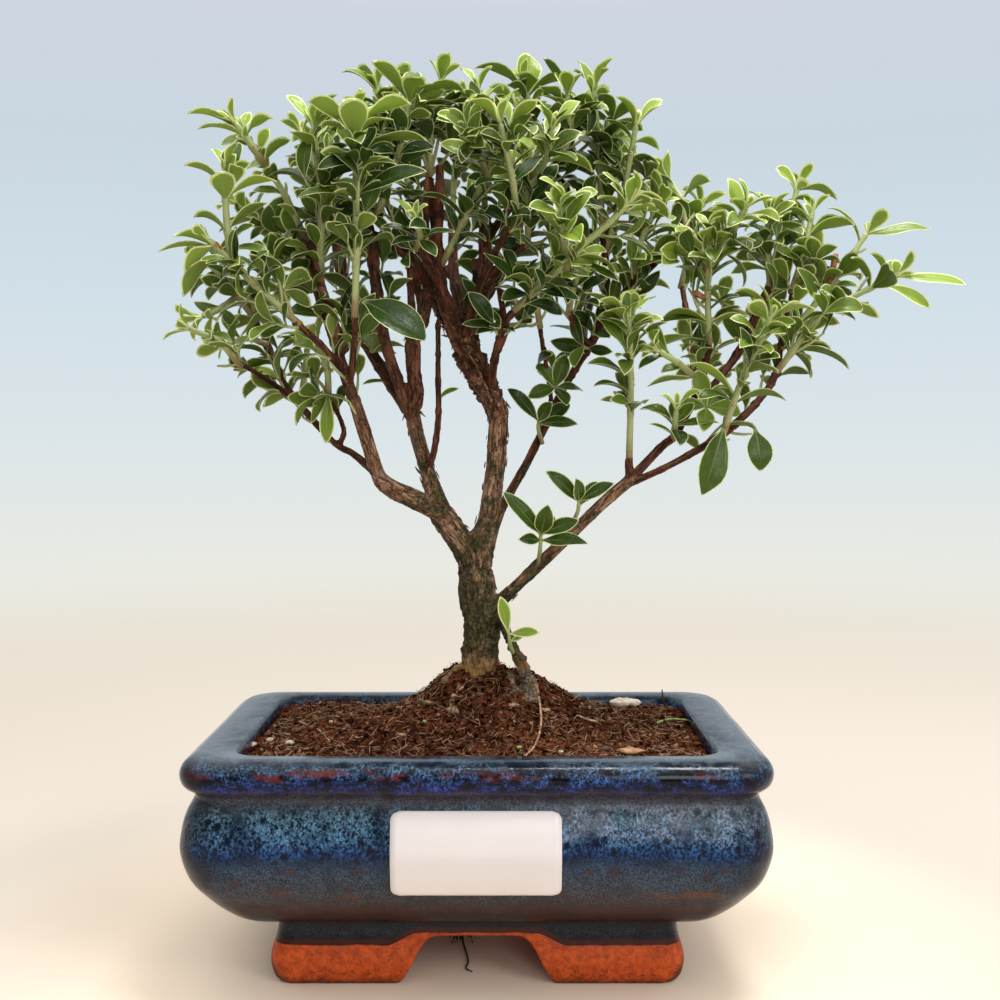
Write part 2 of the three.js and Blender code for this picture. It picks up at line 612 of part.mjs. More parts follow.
/** How much narrower the label is on each side at a distance from its upper or lower edge. */
function labelCornerCut(fromEdge) {
  if (fromEdge >= LABEL_CORNER) {
    return 0;
  }
  return LABEL_CORNER - Math.sqrt(LABEL_CORNER ** 2 - (LABEL_CORNER - fromEdge) ** 2);
}

/** Blank label, bent to the belly's profile a hair's breadth off the glaze. */
function makeLabel() {
  const top = LABEL_BOTTOM + LABEL_HEIGHT;
  const fromEdges = [0, 0.3, 1, LABEL_CORNER];
  const bends = BELLY_PROFILE.map(([, height]) => height)
    .filter((height) => height > LABEL_BOTTOM + LABEL_CORNER + 1 && height < top - LABEL_CORNER);
  const levels = [
    ...fromEdges.map((rise) => LABEL_BOTTOM + rise),
    ...bends,
    ...fromEdges.map((drop) => top - drop).reverse(),
  ];
  const rings = levels.map((height) => {
    const halfWidth = LABEL_WIDTH / 2 - labelCornerCut(Math.min(height - LABEL_BOTTOM, top - height));
    const glaze = POT_HALF_DEPTH - bellyInset(height) * longSideShare(height);
    const back = -glaze - 1.5 * GAP;
    const front = back - LABEL_THICKNESS;
    return [[-halfWidth, front], [halfWidth, front], [halfWidth, back], [-halfWidth, back]]
      .map(([x, y]) => new THREE.Vector3(x, y, height));
  });
  return solidOf(loft(rings));
}

// ---- wood -----------------------------------------------------------------------------------

function makeBranch(branch, grow) {
  const points = branch.map(([x, y, z]) => new THREE.Vector3(x, y, z));
  const radii = branch.map(([, , , radius]) => radius);
  const [, sides] = ROD_SIDES.find(([over]) => Math.max(...radii) > over);
  return rod(points, radii, sides, grow);
}

function makeWood(grow) {
  const branches = Object.values(BRANCHES).map((branch) => makeBranch(branch, grow));
  return branches.reduce((joined, branch) => joined.add(branch));
}

// ---- leaves ---------------------------------------------------------------------------------

/**
 * Arched leaf with a keel under its midrib, pointed at both ends. Its root lies behind the middle
 * of the stem. It leaves `base` along `along`, its upper face turned to `up`, and bends away from
 * `up` by `bend` on its way to the tip.
 */
function makeLeaf({ base, along, up, length, width, bend }, grow = 0) {
  const across = new THREE.Vector3().crossVectors(along, up).normalize();
  const face = new THREE.Vector3().crossVectors(across, along).normalize();
  const root = base.clone().addScaledVector(along, -LEAF_ROOT_DEPTH);
  const centre = base.clone();
  let reached = 0;
  const sections = LEAF_SECTIONS.map(([share, breadth, keel]) => {
    const angle = bend * (share + reached) * 0.5;
    const step = (share - reached) * length * (1 + grow);
    centre.addScaledVector(along, Math.cos(angle) * step).addScaledVector(face, -Math.sin(angle) * step);
    reached = share;
    const turn = bend * share;
    const top = face.clone().multiplyScalar(Math.cos(turn)).addScaledVector(along, Math.sin(turn));
    const half = 0.5 * width * breadth * (1 + grow);
    return [
      centre.clone().addScaledVector(across, -half).addScaledVector(top, LEAF_FOLD * half),
      centre.clone().addScaledVector(across, half).addScaledVector(top, LEAF_FOLD * half),
      centre.clone().addScaledVector(top, -keel * (1 + grow)),
    ];
  });
  const tip = sections.pop()[2];
  return solidOf(spindle(root, sections, tip));
}

/** Leaves in crossed pairs up one stem, closer together and more upright towards its tip. */
function leafRule(points, random) {
  const curve = new THREE.CatmullRomCurve3(points);
  const length = curve.getLength();
  const leaves = [];
  const firstTurn = random() * Math.PI;
  let below = 0.6;
  let pair = 0;
  while (below < 0.88 * length) {
    const share = 1 - below / length;
    const base = curve.getPointAt(share);
    const axis = curve.getTangentAt(share);
    const side = new THREE.Vector3(-axis.y, axis.x, 0.01).normalize();
    const spread = pair === 0 ? 0.45 : Math.min(0.7 + 0.12 * pair, 1);
    for (let twin = 0; twin < 2; twin += 1) {
      const turn = firstTurn + pair * (Math.PI / 2) + twin * Math.PI + 0.5 * (random() - 0.5);
      const radial = side.clone().applyAxisAngle(axis, turn);
      const along = axis.clone().multiplyScalar(Math.cos(spread)).addScaledVector(radial, Math.sin(spread));
      const up = axis.clone().multiplyScalar(Math.sin(spread)).addScaledVector(radial, -Math.cos(spread));
      const size = (pair === 0 ? 0.8 : 1) * (0.85 + 0.3 * random());
      leaves.push({
        base,
        along,
        up,
        length: LEAF_LENGTH * size,
        width: LEAF_LENGTH * LEAF_WIDTH_RATIO * size,
        bend: 0.5 + 0.5 * random(),
      });
    }
    pair += 1;
    below += NODE_SPACING + NODE_SPACING_GROWTH * pair;
  }
  return leaves;
}

/** One leaf between two given points, its upper face turned up and to the front. */
function leafBetween([x0, y0, z0, x1, y1, z1, width]) {
  const base = new THREE.Vector3(x0, y0, z0);
  const chord = new THREE.Vector3(x1, y1, z1).sub(base);
  const bend = 0.35;
  const front = new THREE.Vector3(0.1, -0.8, 0.9);
  const across = new THREE.Vector3().crossVectors(chord, front).normalize();
  const along = chord.clone().normalize().applyAxisAngle(across, bend / 2);
  const up = new THREE.Vector3().crossVectors(across, along);
  return { base, along, up, length: chord.length() * 1.01, width, bend };
}

// ---- shoots ---------------------------------------------------------------------------------

function boxesApart(a, b) {
  const first = a.boundingBox();
  const second = b.boundingBox();
  return [0, 1, 2].some((axis) => first.max[axis] < second.min[axis] || second.max[axis] < first.min[axis]);
}

function isClear(solid, others) {
  return others.every((other) => boxesApart(solid, other) || solid.intersect(other).isEmpty());
}

/** Turns a leaf that would touch a neighbour, then shortens it, and gives it up after some tries. */
function settleLeaf(leaf, axis, others) {
  for (let attempt = 0; attempt < LEAF_TRIES; attempt += 1) {
    const turn = (attempt % 2 ? 1 : -1) * 0.22 * Math.ceil(attempt / 2);
    const size = attempt < 4 ? 1 : 0.8;
    const candidate = {
      ...leaf,
      along: leaf.along.clone().applyAxisAngle(axis, turn),
      up: leaf.up.clone().applyAxisAngle(axis, turn),
      length: leaf.length * size,
      width: leaf.width * size,
    };
    if (isClear(makeLeaf(candidate, LEAF_CREVICE), others)) {
      return makeLeaf(candidate);
    }
  }
  return null;
}

function makeStem(points, woodClearance) {
  const curve = new THREE.CatmullRomCurve3(points);
  const steps = Math.max(1, Math.round(curve.getLength() / STEM_STEP));
  const line = curve.getSpacedPoints(steps);
  const radii = line.map((_, i) => THREE.MathUtils.lerp(STEM_RADIUS, STEM_TIP_RADIUS, i / steps));
  return rod(line, radii, 4).subtract(woodClearance);
}

function makeStems(lines, woodClearance) {
  return lines.map((line) => makeStem(line, woodClearance)).reduce((joined, stem) => joined.add(stem));
}

/** Joins a shoot's leaves to its stems, each leaf clear of the other pieces. */
function makeShoot(stems, candidates, others) {
  let shoot = stems;
  candidates.forEach(({ leaf, axis }) => {
    const settled = settleLeaf(leaf, axis, others);
    if (settled) {
      shoot = shoot.add(settled);
    }
  });
  return shoot;
}

// ---- the whole object -----------------------------------------------------------------------

const bonsai = new THREE.Group();

function addPiece(name, solid, color, roughness, metalness = 0) {
  const mesh = new THREE.Mesh(
    geometryOf(solid),
    new THREE.MeshStandardMaterial({ color, roughness, metalness }),
  );
  mesh.name = name;
  bonsai.add(mesh);
}

const woodClearance = makeWood(GAP);
const lyingThings = makeLump(STONE, GAP).add(makeLump(BARK_FLAKE, GAP));

addPiece('pot', makePot(), 0x223a6b, 0.18);
addPiece('drain_mesh', makeDrainMesh(), 0x222222, 0.6);
addPiece('soil', makeSoil(woodClearance, lyingThings), 0x3b211a, 0.95);
addPiece('pale_stone', makeLump(STONE), 0xcfc3b2, 0.8);
addPiece('bark_flake', makeLump(BARK_FLAKE), 0x8a5f3c, 0.85);
addPiece('shop_label', makeLabel(), 0xf2f2f2, 0.5);
addPiece('trunk_and_branches', makeWood(0), 0x7a5844, 0.85);

const toLine = (points) => points.map(([x, y, z]) => new THREE.Vector3(x, y, z));
const upright = new THREE.Vector3(0, 0, 1);
const leafRandom = seededRandom(2026);
const plans = [
  ...Object.entries(LONE_SHOOTS).map(([name, { stem, leaves }]) => ({
    name,
    lines: [toLine(stem)],
    candidates: leaves.map((leaf) => ({ leaf: leafBetween(leaf), axis: upright })),
  })),
  ...Object.entries(SHOOTS).map(([name, stems]) => {
    const lines = stems.map(toLine);
    const large = (LARGE_LEAVES[name] ?? []).map((leaf) => ({ leaf: leafBetween(leaf), axis: upright }));
    const small = lines.flatMap((line) => {
      const axis = line[2].clone().sub(line[0]).normalize();
      return leafRule(line, leafRandom).map((leaf) => ({ leaf, axis }));
    });
    return { name, lines, candidates: [...large, ...small] };
  }),
];
const shoots = plans.map(({ lines }) => makeStems(lines, woodClearance));
plans.forEach(({ name, candidates }, i) => {
  const others = [woodClearance, ...shoots.filter((_, j) => j !== i)];
  shoots[i] = makeShoot(shoots[i], candidates, others);
  addPiece(`shoot_${name}`, shoots[i], 0x55803a, 0.45);
});

const middle = new THREE.Box3().setFromObject(bonsai).getCenter(new THREE.Vector3());
bonsai.position.set(-middle.x, -middle.y, 0);

export default bonsai;
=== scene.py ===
"""Serissa bonsai in its glazed pot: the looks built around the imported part.

Lengths are millimetres from the middle of the pot's foot, X to the right, Y away from the camera and
Z up. `Shape.piece` turns them into the frame's metres.
"""

import math

import bpy
import numpy as np
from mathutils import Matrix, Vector, noise
from mathutils.kdtree import KDTree


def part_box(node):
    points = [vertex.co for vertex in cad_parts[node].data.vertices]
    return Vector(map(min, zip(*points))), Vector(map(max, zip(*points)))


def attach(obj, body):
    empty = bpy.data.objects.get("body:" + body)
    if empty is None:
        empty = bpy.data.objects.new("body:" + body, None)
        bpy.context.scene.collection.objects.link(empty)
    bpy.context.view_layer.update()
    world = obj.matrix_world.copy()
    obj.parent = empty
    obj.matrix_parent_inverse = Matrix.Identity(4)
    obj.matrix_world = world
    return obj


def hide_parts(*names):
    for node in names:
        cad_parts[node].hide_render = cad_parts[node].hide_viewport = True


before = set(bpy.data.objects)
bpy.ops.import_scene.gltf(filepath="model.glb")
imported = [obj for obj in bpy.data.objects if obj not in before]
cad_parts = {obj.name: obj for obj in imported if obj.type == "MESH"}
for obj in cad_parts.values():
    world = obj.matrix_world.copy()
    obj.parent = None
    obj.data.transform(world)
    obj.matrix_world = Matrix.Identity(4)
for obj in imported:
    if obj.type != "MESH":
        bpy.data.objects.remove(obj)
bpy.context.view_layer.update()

# ---- driving dimensions -------------------------------------------------------------------

MM = 0.001
pot_low, pot_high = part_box("pot")
POT_MIDDLE = np.array([(pot_low.x + pot_high.x) / 2, (pot_low.y + pot_high.y) / 2, 0.0])
POT_HALF_WIDTH = (pot_high.x - pot_low.x) / 2 / MM
POT_HALF_DEPTH = (pot_high.y - pot_low.y) / 2 / MM
POT_HEIGHT = pot_high.z / MM
POT_CORNER = 13
BELLY_WIDEST = 45
UNDERSIDE_TAPER = 0.8
LIP_WIDTH = 16.5
LIP_DEPTH = 11.5
FLOOR_TOP = 26
FLOOR_BOTTOM = 19
FOOT_HALF_WIDTH = 64.5
FOOT_HALF_DEPTH = 36.5
FOOT_WALL = 10
LONG_SIDE_ARCH = (25, 14.5, 14.8)  # half width at the bottom, half width at the crown, height
SHORT_SIDE_ARCH = (13, 7, 12)
GLAZE_LINE = 12.4  # height of the glaze's lower edge on the foot
INSIDE_GLAZE_LINE = 60
DRAIN_RADIUS = 7
UNDERSIDE_CORNER = 6
FOOT_CORNER = 6
CAVITY_CORNER = 9
SMALLEST_CORNER = 5
CORNER_SHRINKS = 0.35  # how much of an inset the radius of a corner loses
SOIL_EDGE_HEIGHT = 71
MOUND_HEIGHT = 22
MOUND_SPREAD = 26
MOUND_SHIFT = 3
LABEL_WIDTH = 50
LABEL_HEIGHT = 25
LABEL_BOTTOM = 34.7
LABEL_CORNER = 2.5
LABEL_THICKNESS = 0.4
LABEL_CLEARANCE = 0.45
STEM_RADIUS = 1.4
STEM_TIP_RADIUS = 1.1
LEAF_LENGTH = 15
LEAF_WIDTH_RATIO = 0.45
NODE_SPACING = 7.2
NODE_SPACING_GROWTH = 1.2
LEAF_SEED = 2026

# Outside of the pot: how far in from the widest outline, and how high.
BELLY_PROFILE = [
    (28, 19.5), (17.5, 22.5), (11.5, 26.5), (6.5, 31.5), (2.4, 37), (0, BELLY_WIDEST), (0.5, 52),
    (1.8, 57), (3.8, 61),
]
RIM_PROFILE = [(3.4, 63), (0.8, 65.5), (0, 69), (1.2, 72), (4.2, POT_HEIGHT)]
# Inside: how far in from the lip's inner edge, and how high.
CAVITY_PROFILE = [(-1.2, POT_HEIGHT), (0, POT_HEIGHT - 2), (0.5, 66), (1.5, 36), (4.5, 29), (10, FLOOR_TOP)]
FOOT_PROFILE = [(2, 0), (0.7, 2.5), (0, 8), (1.8, 15), (2.5, 22)]

# ---- wood: x, y, z of the middle line, then the radius ------------------------------------

BRANCHES = {
    "trunk": [
        (-1, 0, 58, 3.0), (-1, 0, 66, 6.6), (-1, 0, 77, 7.2), (0, 0, 84, 6.5), (0, 0, 92, 5.6),
        (1, 0, 101, 5.9), (1, 0, 108, 6.3), (0, 0, 115, 6.2), (-1, 0, 122, 6.1), (-2, 0, 129, 4.6),
    ],
    "left_fork": [(-1, 0, 125, 5.0), (-5, -1, 133, 4.4), (-9, -2, 139, 4.3), (-13, -3, 145, 4.0)],
    "left_main": [
        (-11, -3, 142, 3.8), (-14, -3, 149, 3.2), (-16, -2, 155, 2.8), (-18, 0, 161, 2.5),
        (-21, -1, 172, 2.5), (-22, -2, 178, 2.5),
    ],
    "left_mid": [
        (-22, -2, 176, 2.1), (-20, -5, 183, 1.8), (-21, -7, 190, 1.8), (-21, -8, 202, 2.1),
        (-18, -6, 208, 1.7), (-16, -2, 221, 1.5),
    ],
    "left_mid_twig": [(-16, -3, 218, 1.4), (-20, -6, 226, 1.2), (-25, -10, 231, 1.1), (-32, -17, 238, 1.0)],
    "left_dark": [
        (-22, -2, 176, 1.9), (-28, 4, 185, 1.7), (-32, 8, 191, 1.7), (-40, 13, 204, 1.4),
        (-47, 16, 222, 1.2), (-50, 16, 242, 1.1),
    ],
    "left_inner": [
        (-23, -2, 176, 1.4), (-26, -8, 187, 1.2), (-30, -13, 201, 1.2), (-33, -13, 221, 1.2),
        (-35, -12, 237, 1.1),
    ],
    "low_left": [
        (-12, -3, 144, 3.3), (-19, -7, 148, 3.1), (-30, -12, 154, 2.6), (-33, -14, 160, 2.0),
        (-37, -18, 174, 1.9), (-41, -21, 187, 1.6), (-45, -22, 200, 1.4), (-50, -20, 215, 1.5),
        (-52, -18, 224, 1.5), (-55, -16, 232, 1.3),
    ],
    "far_left": [(-41, -21, 187, 1.1), (-46, -25, 195, 1.0), (-51, -28, 200, 1.0), (-56, -31, 204.5, 1.1)],
    "front_twig": [(-40, -21, 186, 1.0), (-38, -27, 197, 0.9), (-37, -33, 207.5, 0.9)],
    "drooping": [
        (-33, -14, 158, 1.4), (-41, -8, 164, 1.1), (-47, -4, 167, 1.0), (-58, 3, 178, 1.2),
        (-66, 6, 188, 1.2), (-71, 8, 200, 1.0), (-77, 10, 211, 0.9),
    ],
    "drooping_fork": [(-46, -4, 166, 0.9), (-44, -6, 172, 0.8), (-48, -12, 182.5, 0.8)],
    "drooping_side": [(-61, 5, 181, 1.1), (-67, 2, 186, 0.9), (-78, -4, 193.5, 0.8)],
    "thin_upright": [
        (-18, 0, 158, 1.3), (-15, -5, 163, 1.1), (-13, -9, 175, 1.0), (-13, -10, 189, 0.9),
        (-13, -9, 207, 0.8),
    ],
    "centre": [
        (-1, 0, 125, 5.2), (1, 0, 135, 4.4), (3, 0, 142, 3.4), (5, -2, 155, 3.3), (6, -3, 166, 3.3),
        (6, -3, 178, 3.5), (1, 0, 188, 3.8), (-4, 2, 198, 4.4), (-5, 2, 206, 4.0),
    ],
    "centre_stem": [
        (-5, 2, 200, 3.0), (-10, -3, 210, 2.0), (-12, -6, 217, 1.7), (-13, -8, 231, 1.4),
        (-16, -6, 253, 1.2),
    ],
    "right_stem": [
        (-4, 2, 201, 3.0), (-1, 3, 212, 2.2), (2, 4, 221, 2.0), (2, 4, 237, 1.7), (2, 3, 244, 1.5),
    ],
    "left_stem": [(-6, 3, 201, 2.7), (-14, 8, 214, 2.4), (-19, 15, 231, 1.7), (-24, 18, 249, 1.4)],
    "back_stem": [(-5, 3, 203, 2.4), (-7, 14, 215, 1.9), (-9, 23, 226, 1.8), (-10, 35, 248, 1.5)],
    "right_twig": [(4, -2, 183, 1.6), (5, -7, 193, 1.3), (8, -17, 204, 1.1), (12.5, -23.5, 209.5, 1.1)],
    "middle_right": [
        (2, 1, 128, 2.0), (7, 8, 144, 1.6), (16, 15, 160, 1.4), (23, 18, 174, 1.4), (30, 18, 188, 1.2),
        (38, 16, 201, 1.4), (46, 12, 214, 1.4), (59, 6, 227.5, 0.9),
    ],
    "middle_upright": [(25, 18, 178, 1.0), (24, 13, 186, 0.8), (20, 4, 207.5, 0.8)],
    "top_right_stem": [(39, 15, 203, 1.3), (43, 12, 217, 1.2), (42, 8, 234, 1.2), (41, 6, 242, 1.1)],
    "right_arm": [
        (1, 0, 110, 3.2), (8, -3, 116, 2.2), (15, -6, 123, 2.0), (30, -12, 138, 1.8), (40, -14, 148, 1.8),
        (49, -16, 156, 1.9),
    ],
    "right_arm_upper": [
        (48, -16, 155, 1.5), (59, -11, 166, 1.3), (63, -9, 169, 1.3), (67, -7, 175, 1.2),
        (73, -5, 188, 1.2), (75, -6, 199.5, 1.2),
    ],
    "right_arm_lower": [
        (47, -15, 154, 1.4), (54, -18, 157, 1.1), (64, -19, 162, 1.1), (79, -17, 171, 1.3),
        (92, -11, 183, 1.1), (97, -8, 191, 1.3),
    ],
    "right_inner": [
        (71, -6, 182, 1.1), (78, 0, 187, 1.1), (87, 6, 198, 1.4), (94, 6, 213, 1.5), (97, 5, 219.5, 1.3),
    ],
    "right_far": [(97, -8, 189, 1.2), (99, -3, 199, 1.0), (102, 0, 209, 1.0), (104, 2, 218.5, 0.9)],
    "root_right": [
        (6, -2, 114, 1.6), (9, -6, 106, 1.4), (11, -8, 101, 1.4), (14, -9, 95, 1.6), (16, -9, 88, 2.0),
        (17, -8, 75, 2.2),
    ],
    "crown_left_back": [(-38, 12, 200, 1.4), (-45, 24, 218, 1.2), (-48, 32, 229, 1.1), (-51, 36, 242, 1.1)],
    "crown_back_left": [(-9, 23, 225, 1.6), (-18, 29, 232, 1.4), (-27, 36, 241, 1.3), (-34, 42, 254, 1.1)],
    "crown_back_right": [(-5, 2, 205, 2.0), (5, 20, 222, 1.6), (12, 33, 236, 1.4), (15, 40, 250, 1.3)],
    "crown_front": [(-10, -3, 210, 1.5), (-12, -14, 218, 1.1), (-16, -24, 224, 1.1), (-18, -30, 227, 0.9)],
    "crown_front_right": [(-4, 0, 202, 2.0), (-1, -10, 214, 1.3), (4, -20, 224, 1.1), (12, -31, 237, 0.9)],
    "crown_right": [(2, 4, 219, 1.7), (9, 2, 228, 1.3), (16, -6, 232, 1.2)],
    "crown_top_right": [(2, 4, 233, 1.5), (9, 6, 244, 1.2), (22, 8, 255.5, 1.0)],
    "middle_back": [(33, 17, 192, 1.2), (37, 28, 211, 1.1), (41, 44, 239.5, 1.0)],
    "far_back_right": [(57, 7, 226, 1.0), (66, 16, 236, 0.9), (72, 24, 241.5, 0.9)],
    "right_back": [(71, -7, 181, 1.1), (72, 8, 196, 1.0), (71, 28, 223, 0.9)],
    "arm_stub": [(49, -16, 155, 1.6), (48, -17, 160, 1.3), (48, -18, 163.5, 1.1)],
    "middle_side": [(38, 16, 200, 1.2), (32, 8, 207, 0.9), (30, 2, 211.5, 0.8)],
    "middle_fork": [(48, 11, 216, 1.1), (52, 6, 222, 1.0), (52, 4, 225.5, 0.8)],
}

# ---- green shoots: each stem is three points, and a shoot may have side stems --------------

SHOOTS = {
    "left_tip": [
        [(-56, -31, 205), (-66, -34, 214), (-80, -38, 228)],
        [(-74, -36, 222), (-75, -37, 236), (-75, -38, 249)],
    ],
    "left_middle": [
        [(-78, 10, 212), (-85, 12, 221), (-94, 14, 230)],
        [(-82, 11, 217), (-87, 6, 212), (-92, 2, 209)],
    ],
    "left_low": [[(-79, -5, 194), (-84, -8, 200), (-93, -11, 204)]],
    "left_hanging": [[(-48, -13, 183), (-48, -16, 191), (-51, -18, 199)]],
    "left_under": [[(-73, 8, 201), (-79, 14, 203), (-89, 20, 201)]],
    "left_inner_low": [[(-60, 7, 182), (-59, 9, 190), (-58, 9, 200)]],
    "left_stub": [
        [(-55, -17, 233), (-61, -20, 246), (-70, -25, 259)],
        [(-67, -24, 255), (-71, -27, 261), (-74, -29, 265)],
    ],
    "left_upright": [[(-49, -23, 217), (-48, -26, 240), (-50, -28, 264)]],
    "left_front": [[(-37, -33, 208), (-36, -37, 229), (-36, -40, 263)]],
    "left_top": [[(-35, -12, 238), (-30, -12, 261), (-32, -12, 280)]],
    "left_centre_top": [[(-32, -17, 239), (-25, -20, 256), (-21, -23, 273)]],
    "left_back": [[(-50, 16, 243), (-55, 20, 259), (-62, 24, 275)]],
    "left_far_back": [[(-51, 36, 243), (-57, 42, 260), (-60, 46, 275)]],
    "left_side_back": [[(-52, 26, 224), (-68, 30, 238), (-86, 32, 252)]],
    "crown_back_left": [[(-34, 42, 255), (-38, 47, 273), (-42, 50, 288)]],
    "crown_left": [[(-24, 18, 250), (-26, 21, 269), (-29, 24, 287)]],
    "crown_centre_left": [[(-16, -6, 254), (-15, -8, 270), (-12, -9, 283)]],
    "crown_diagonal": [
        [(-11, -10, 226), (-3, -20, 239), (4, -27, 251)],
        [(3, -26, 249), (1, -30, 256), (-3, -34, 262)],
    ],
    "crown_rosette": [[(-18, -31, 228), (-17, -34, 230), (-18, -37, 234)]],
    "crown_centre": [[(2, 3, 245), (1, -2, 264), (0, -6, 281)]],
    "crown_front": [[(12, -31, 238), (10, -36, 250), (7, -40, 262)]],
    "crown_back": [[(-10, 35, 249), (-9, 42, 270), (-7, 46, 290)]],
    "crown_back_right": [[(15, 40, 251), (15, 45, 275), (13, 48, 290)]],
    "crown_stub": [
        [(16, -7, 233), (16, -12, 244), (16, -16, 255)],
        [(16, -14, 251), (21, -20, 255), (23, -25, 264)],
    ],
    "crown_peak": [[(22, 8, 256), (19, 8, 272), (15, 8, 287)]],
    "crown_peak_right": [[(15, 7, 251), (29, 2, 265), (29, -4, 280)]],
    "right_peak": [[(41, 6, 242.5), (40, 6, 262), (38, 4, 284)]],
    "right_shoulder": [[(43, 8, 233), (48, 0, 252), (51, -6, 270)]],
    "right_shoulder_back": [[(41, 44, 240), (43, 50, 261), (47, 52, 278)]],
    "front_stub": [
        [(13, -24, 210), (21, -29, 217), (30, -34, 224)],
        [(27, -33, 222), (26, -37, 230), (25, -40, 236)],
        [(28, -33, 224), (37, -35, 231), (46, -37, 239)],
    ],
    "right_middle": [[(52, 4, 226), (54, 2, 235), (59, 0, 245)]],
    "right_middle_low": [[(59, 6, 228), (64, 2, 230), (70, -2, 229)]],
    "right_middle_back": [[(72, 24, 242), (71, 28, 252), (67, 32, 260)]],
    "right_back": [[(71, 28, 224), (75, 34, 238), (79, 38, 252)]],
    "arm_upright": [[(48, -18, 164), (48, -22, 186), (47, -25, 206)]],
    "arm_stub_shoot": [
        [(75, -6, 200), (74, -9, 217), (74, -11, 234)],
        [(74, -10, 224), (80, -16, 233), (84, -21, 241)],
    ],
    "arm_inner": [[(97, 5, 220), (96, 3, 232), (96, 1, 243)]],
    "arm_top": [[(95, 7, 214), (103, 14, 236), (109, 18, 255)]],
    "arm_front": [[(78, -18, 171), (82, -24, 186), (90, -30, 206)]],
    "arm_long": [[(97, -9, 191), (110, -15, 208), (132, -18, 220)]],
    "arm_tip": [[(102, -3, 203), (115, 1, 218), (129, 4, 237)]],
    "arm_back": [[(104, 2, 219), (109, 7, 232), (112, 9, 245)]],
    "arm_under": [[(88, 8, 199), (92, 18, 202), (99, 26, 210)]],
    "arm_rosette": [[(63, -11, 170), (63, -14, 173), (63, -17, 178)]],
    "arm_side": [[(71, -8, 188), (65, -14, 192), (57, -20, 196)]],
    "middle_shoot": [[(20, 4, 208), (19, 2, 213), (17, 0, 220)]],
    "middle_inner": [[(30, 2, 212), (31, -4, 218), (33, -9, 224)]],
}

# A leaf here is x, y, z of its base, x, y, z of its tip, full width.
LONE_SHOOTS = {
    "sucker": {
        "stem": [(12, -8.5, 97.5), (10.5, -11, 101), (9.8, -12.5, 106)],
        "leaves": [
            (9.8, -12.5, 105.5, 7, -14, 118, 4.4),
            (9.8, -12.5, 105.5, 19.5, -17, 107, 3.8),
            (10.2, -11.5, 103, 14, -15, 105, 2),
        ],
    },
    "low_rosette": {
        "stem": [(19.5, -10, 129), (20, -13, 134), (20, -16, 139)],
        "leaves": [
            (20, -16, 138, 8, -21, 152, 6),
            (20, -16, 138, 22, -24, 148, 6),
            (20, -15, 138, 32, -20, 143, 5),
            (20, -14, 136, 13, -20, 137, 4),
            (20, -14, 136, 35, -19, 136, 6),
            (20, -15, 137, 24, -2, 144, 5),
        ],
    },
    "low_pair": {
        "stem": [(30.5, -14, 142), (32, -16, 146), (32, -17, 149)],
        "leaves": [
            (32, -17, 148.5, 22, -21, 159, 5),
            (32, -17, 148.5, 31, -24, 156, 4.5),
            (32, -17, 148.5, 43, -20, 155, 4.5),
            (32, -17, 147, 39, -8, 155, 4.5),
        ],
    },
    "middle_rosette": {
        "stem": [(21, 14, 169), (20, 11, 172), (20, 9, 175)],
        "leaves": [
            (20, 9, 174.5, 10, 5, 186, 5),
            (20, 9, 174.5, 24, 3, 181, 5),
            (20, 9, 174, 33, 4, 174, 5),
            (20, 10, 173, 31, 12, 181, 5.5),
        ],
    },
}

LARGE_LEAVES = {
    "left_front": [(-34.5, -34, 210.2, -15, -40, 198.3, 12.5)],
    "arm_front": [
        (77.5, -20, 172, 70, -26, 151, 9.4),
        (87, -22, 171.5, 88.5, -26, 158.5, 8.2),
    ],
    "arm_long": [
        (131.5, -18, 219.5, 153.5, -20, 217, 6),
        (127, -17.6, 217.5, 143, -20, 210, 5),
    ],
    "arm_tip": [(128.5, 4, 236.5, 149.5, 1, 238, 6)],
    "crown_diagonal": [(2, -28, 253, -11, -33, 258.5, 6)],
}
# How young the large leaves of a shoot look, where they aren't old and dark.
YOUTH_OF_LARGE = {
    "arm_front": -0.25, "left_front": -0.22, "sucker": 0.8, "arm_long": 0.7, "arm_tip": 0.55,
    "crown_diagonal": 0.75,
}

# ---- what stands out from the front: pixels of the camera's 1000-pixel frame ---------------

CAMERA_PLACE = (7.0, -414.6, 166.3)
CAMERA_TILT = math.radians(2.47)
PICTURE_SIZE = 1000
PICTURE_MIDDLE = PICTURE_SIZE / 2
FOCAL_PIXELS = 1250

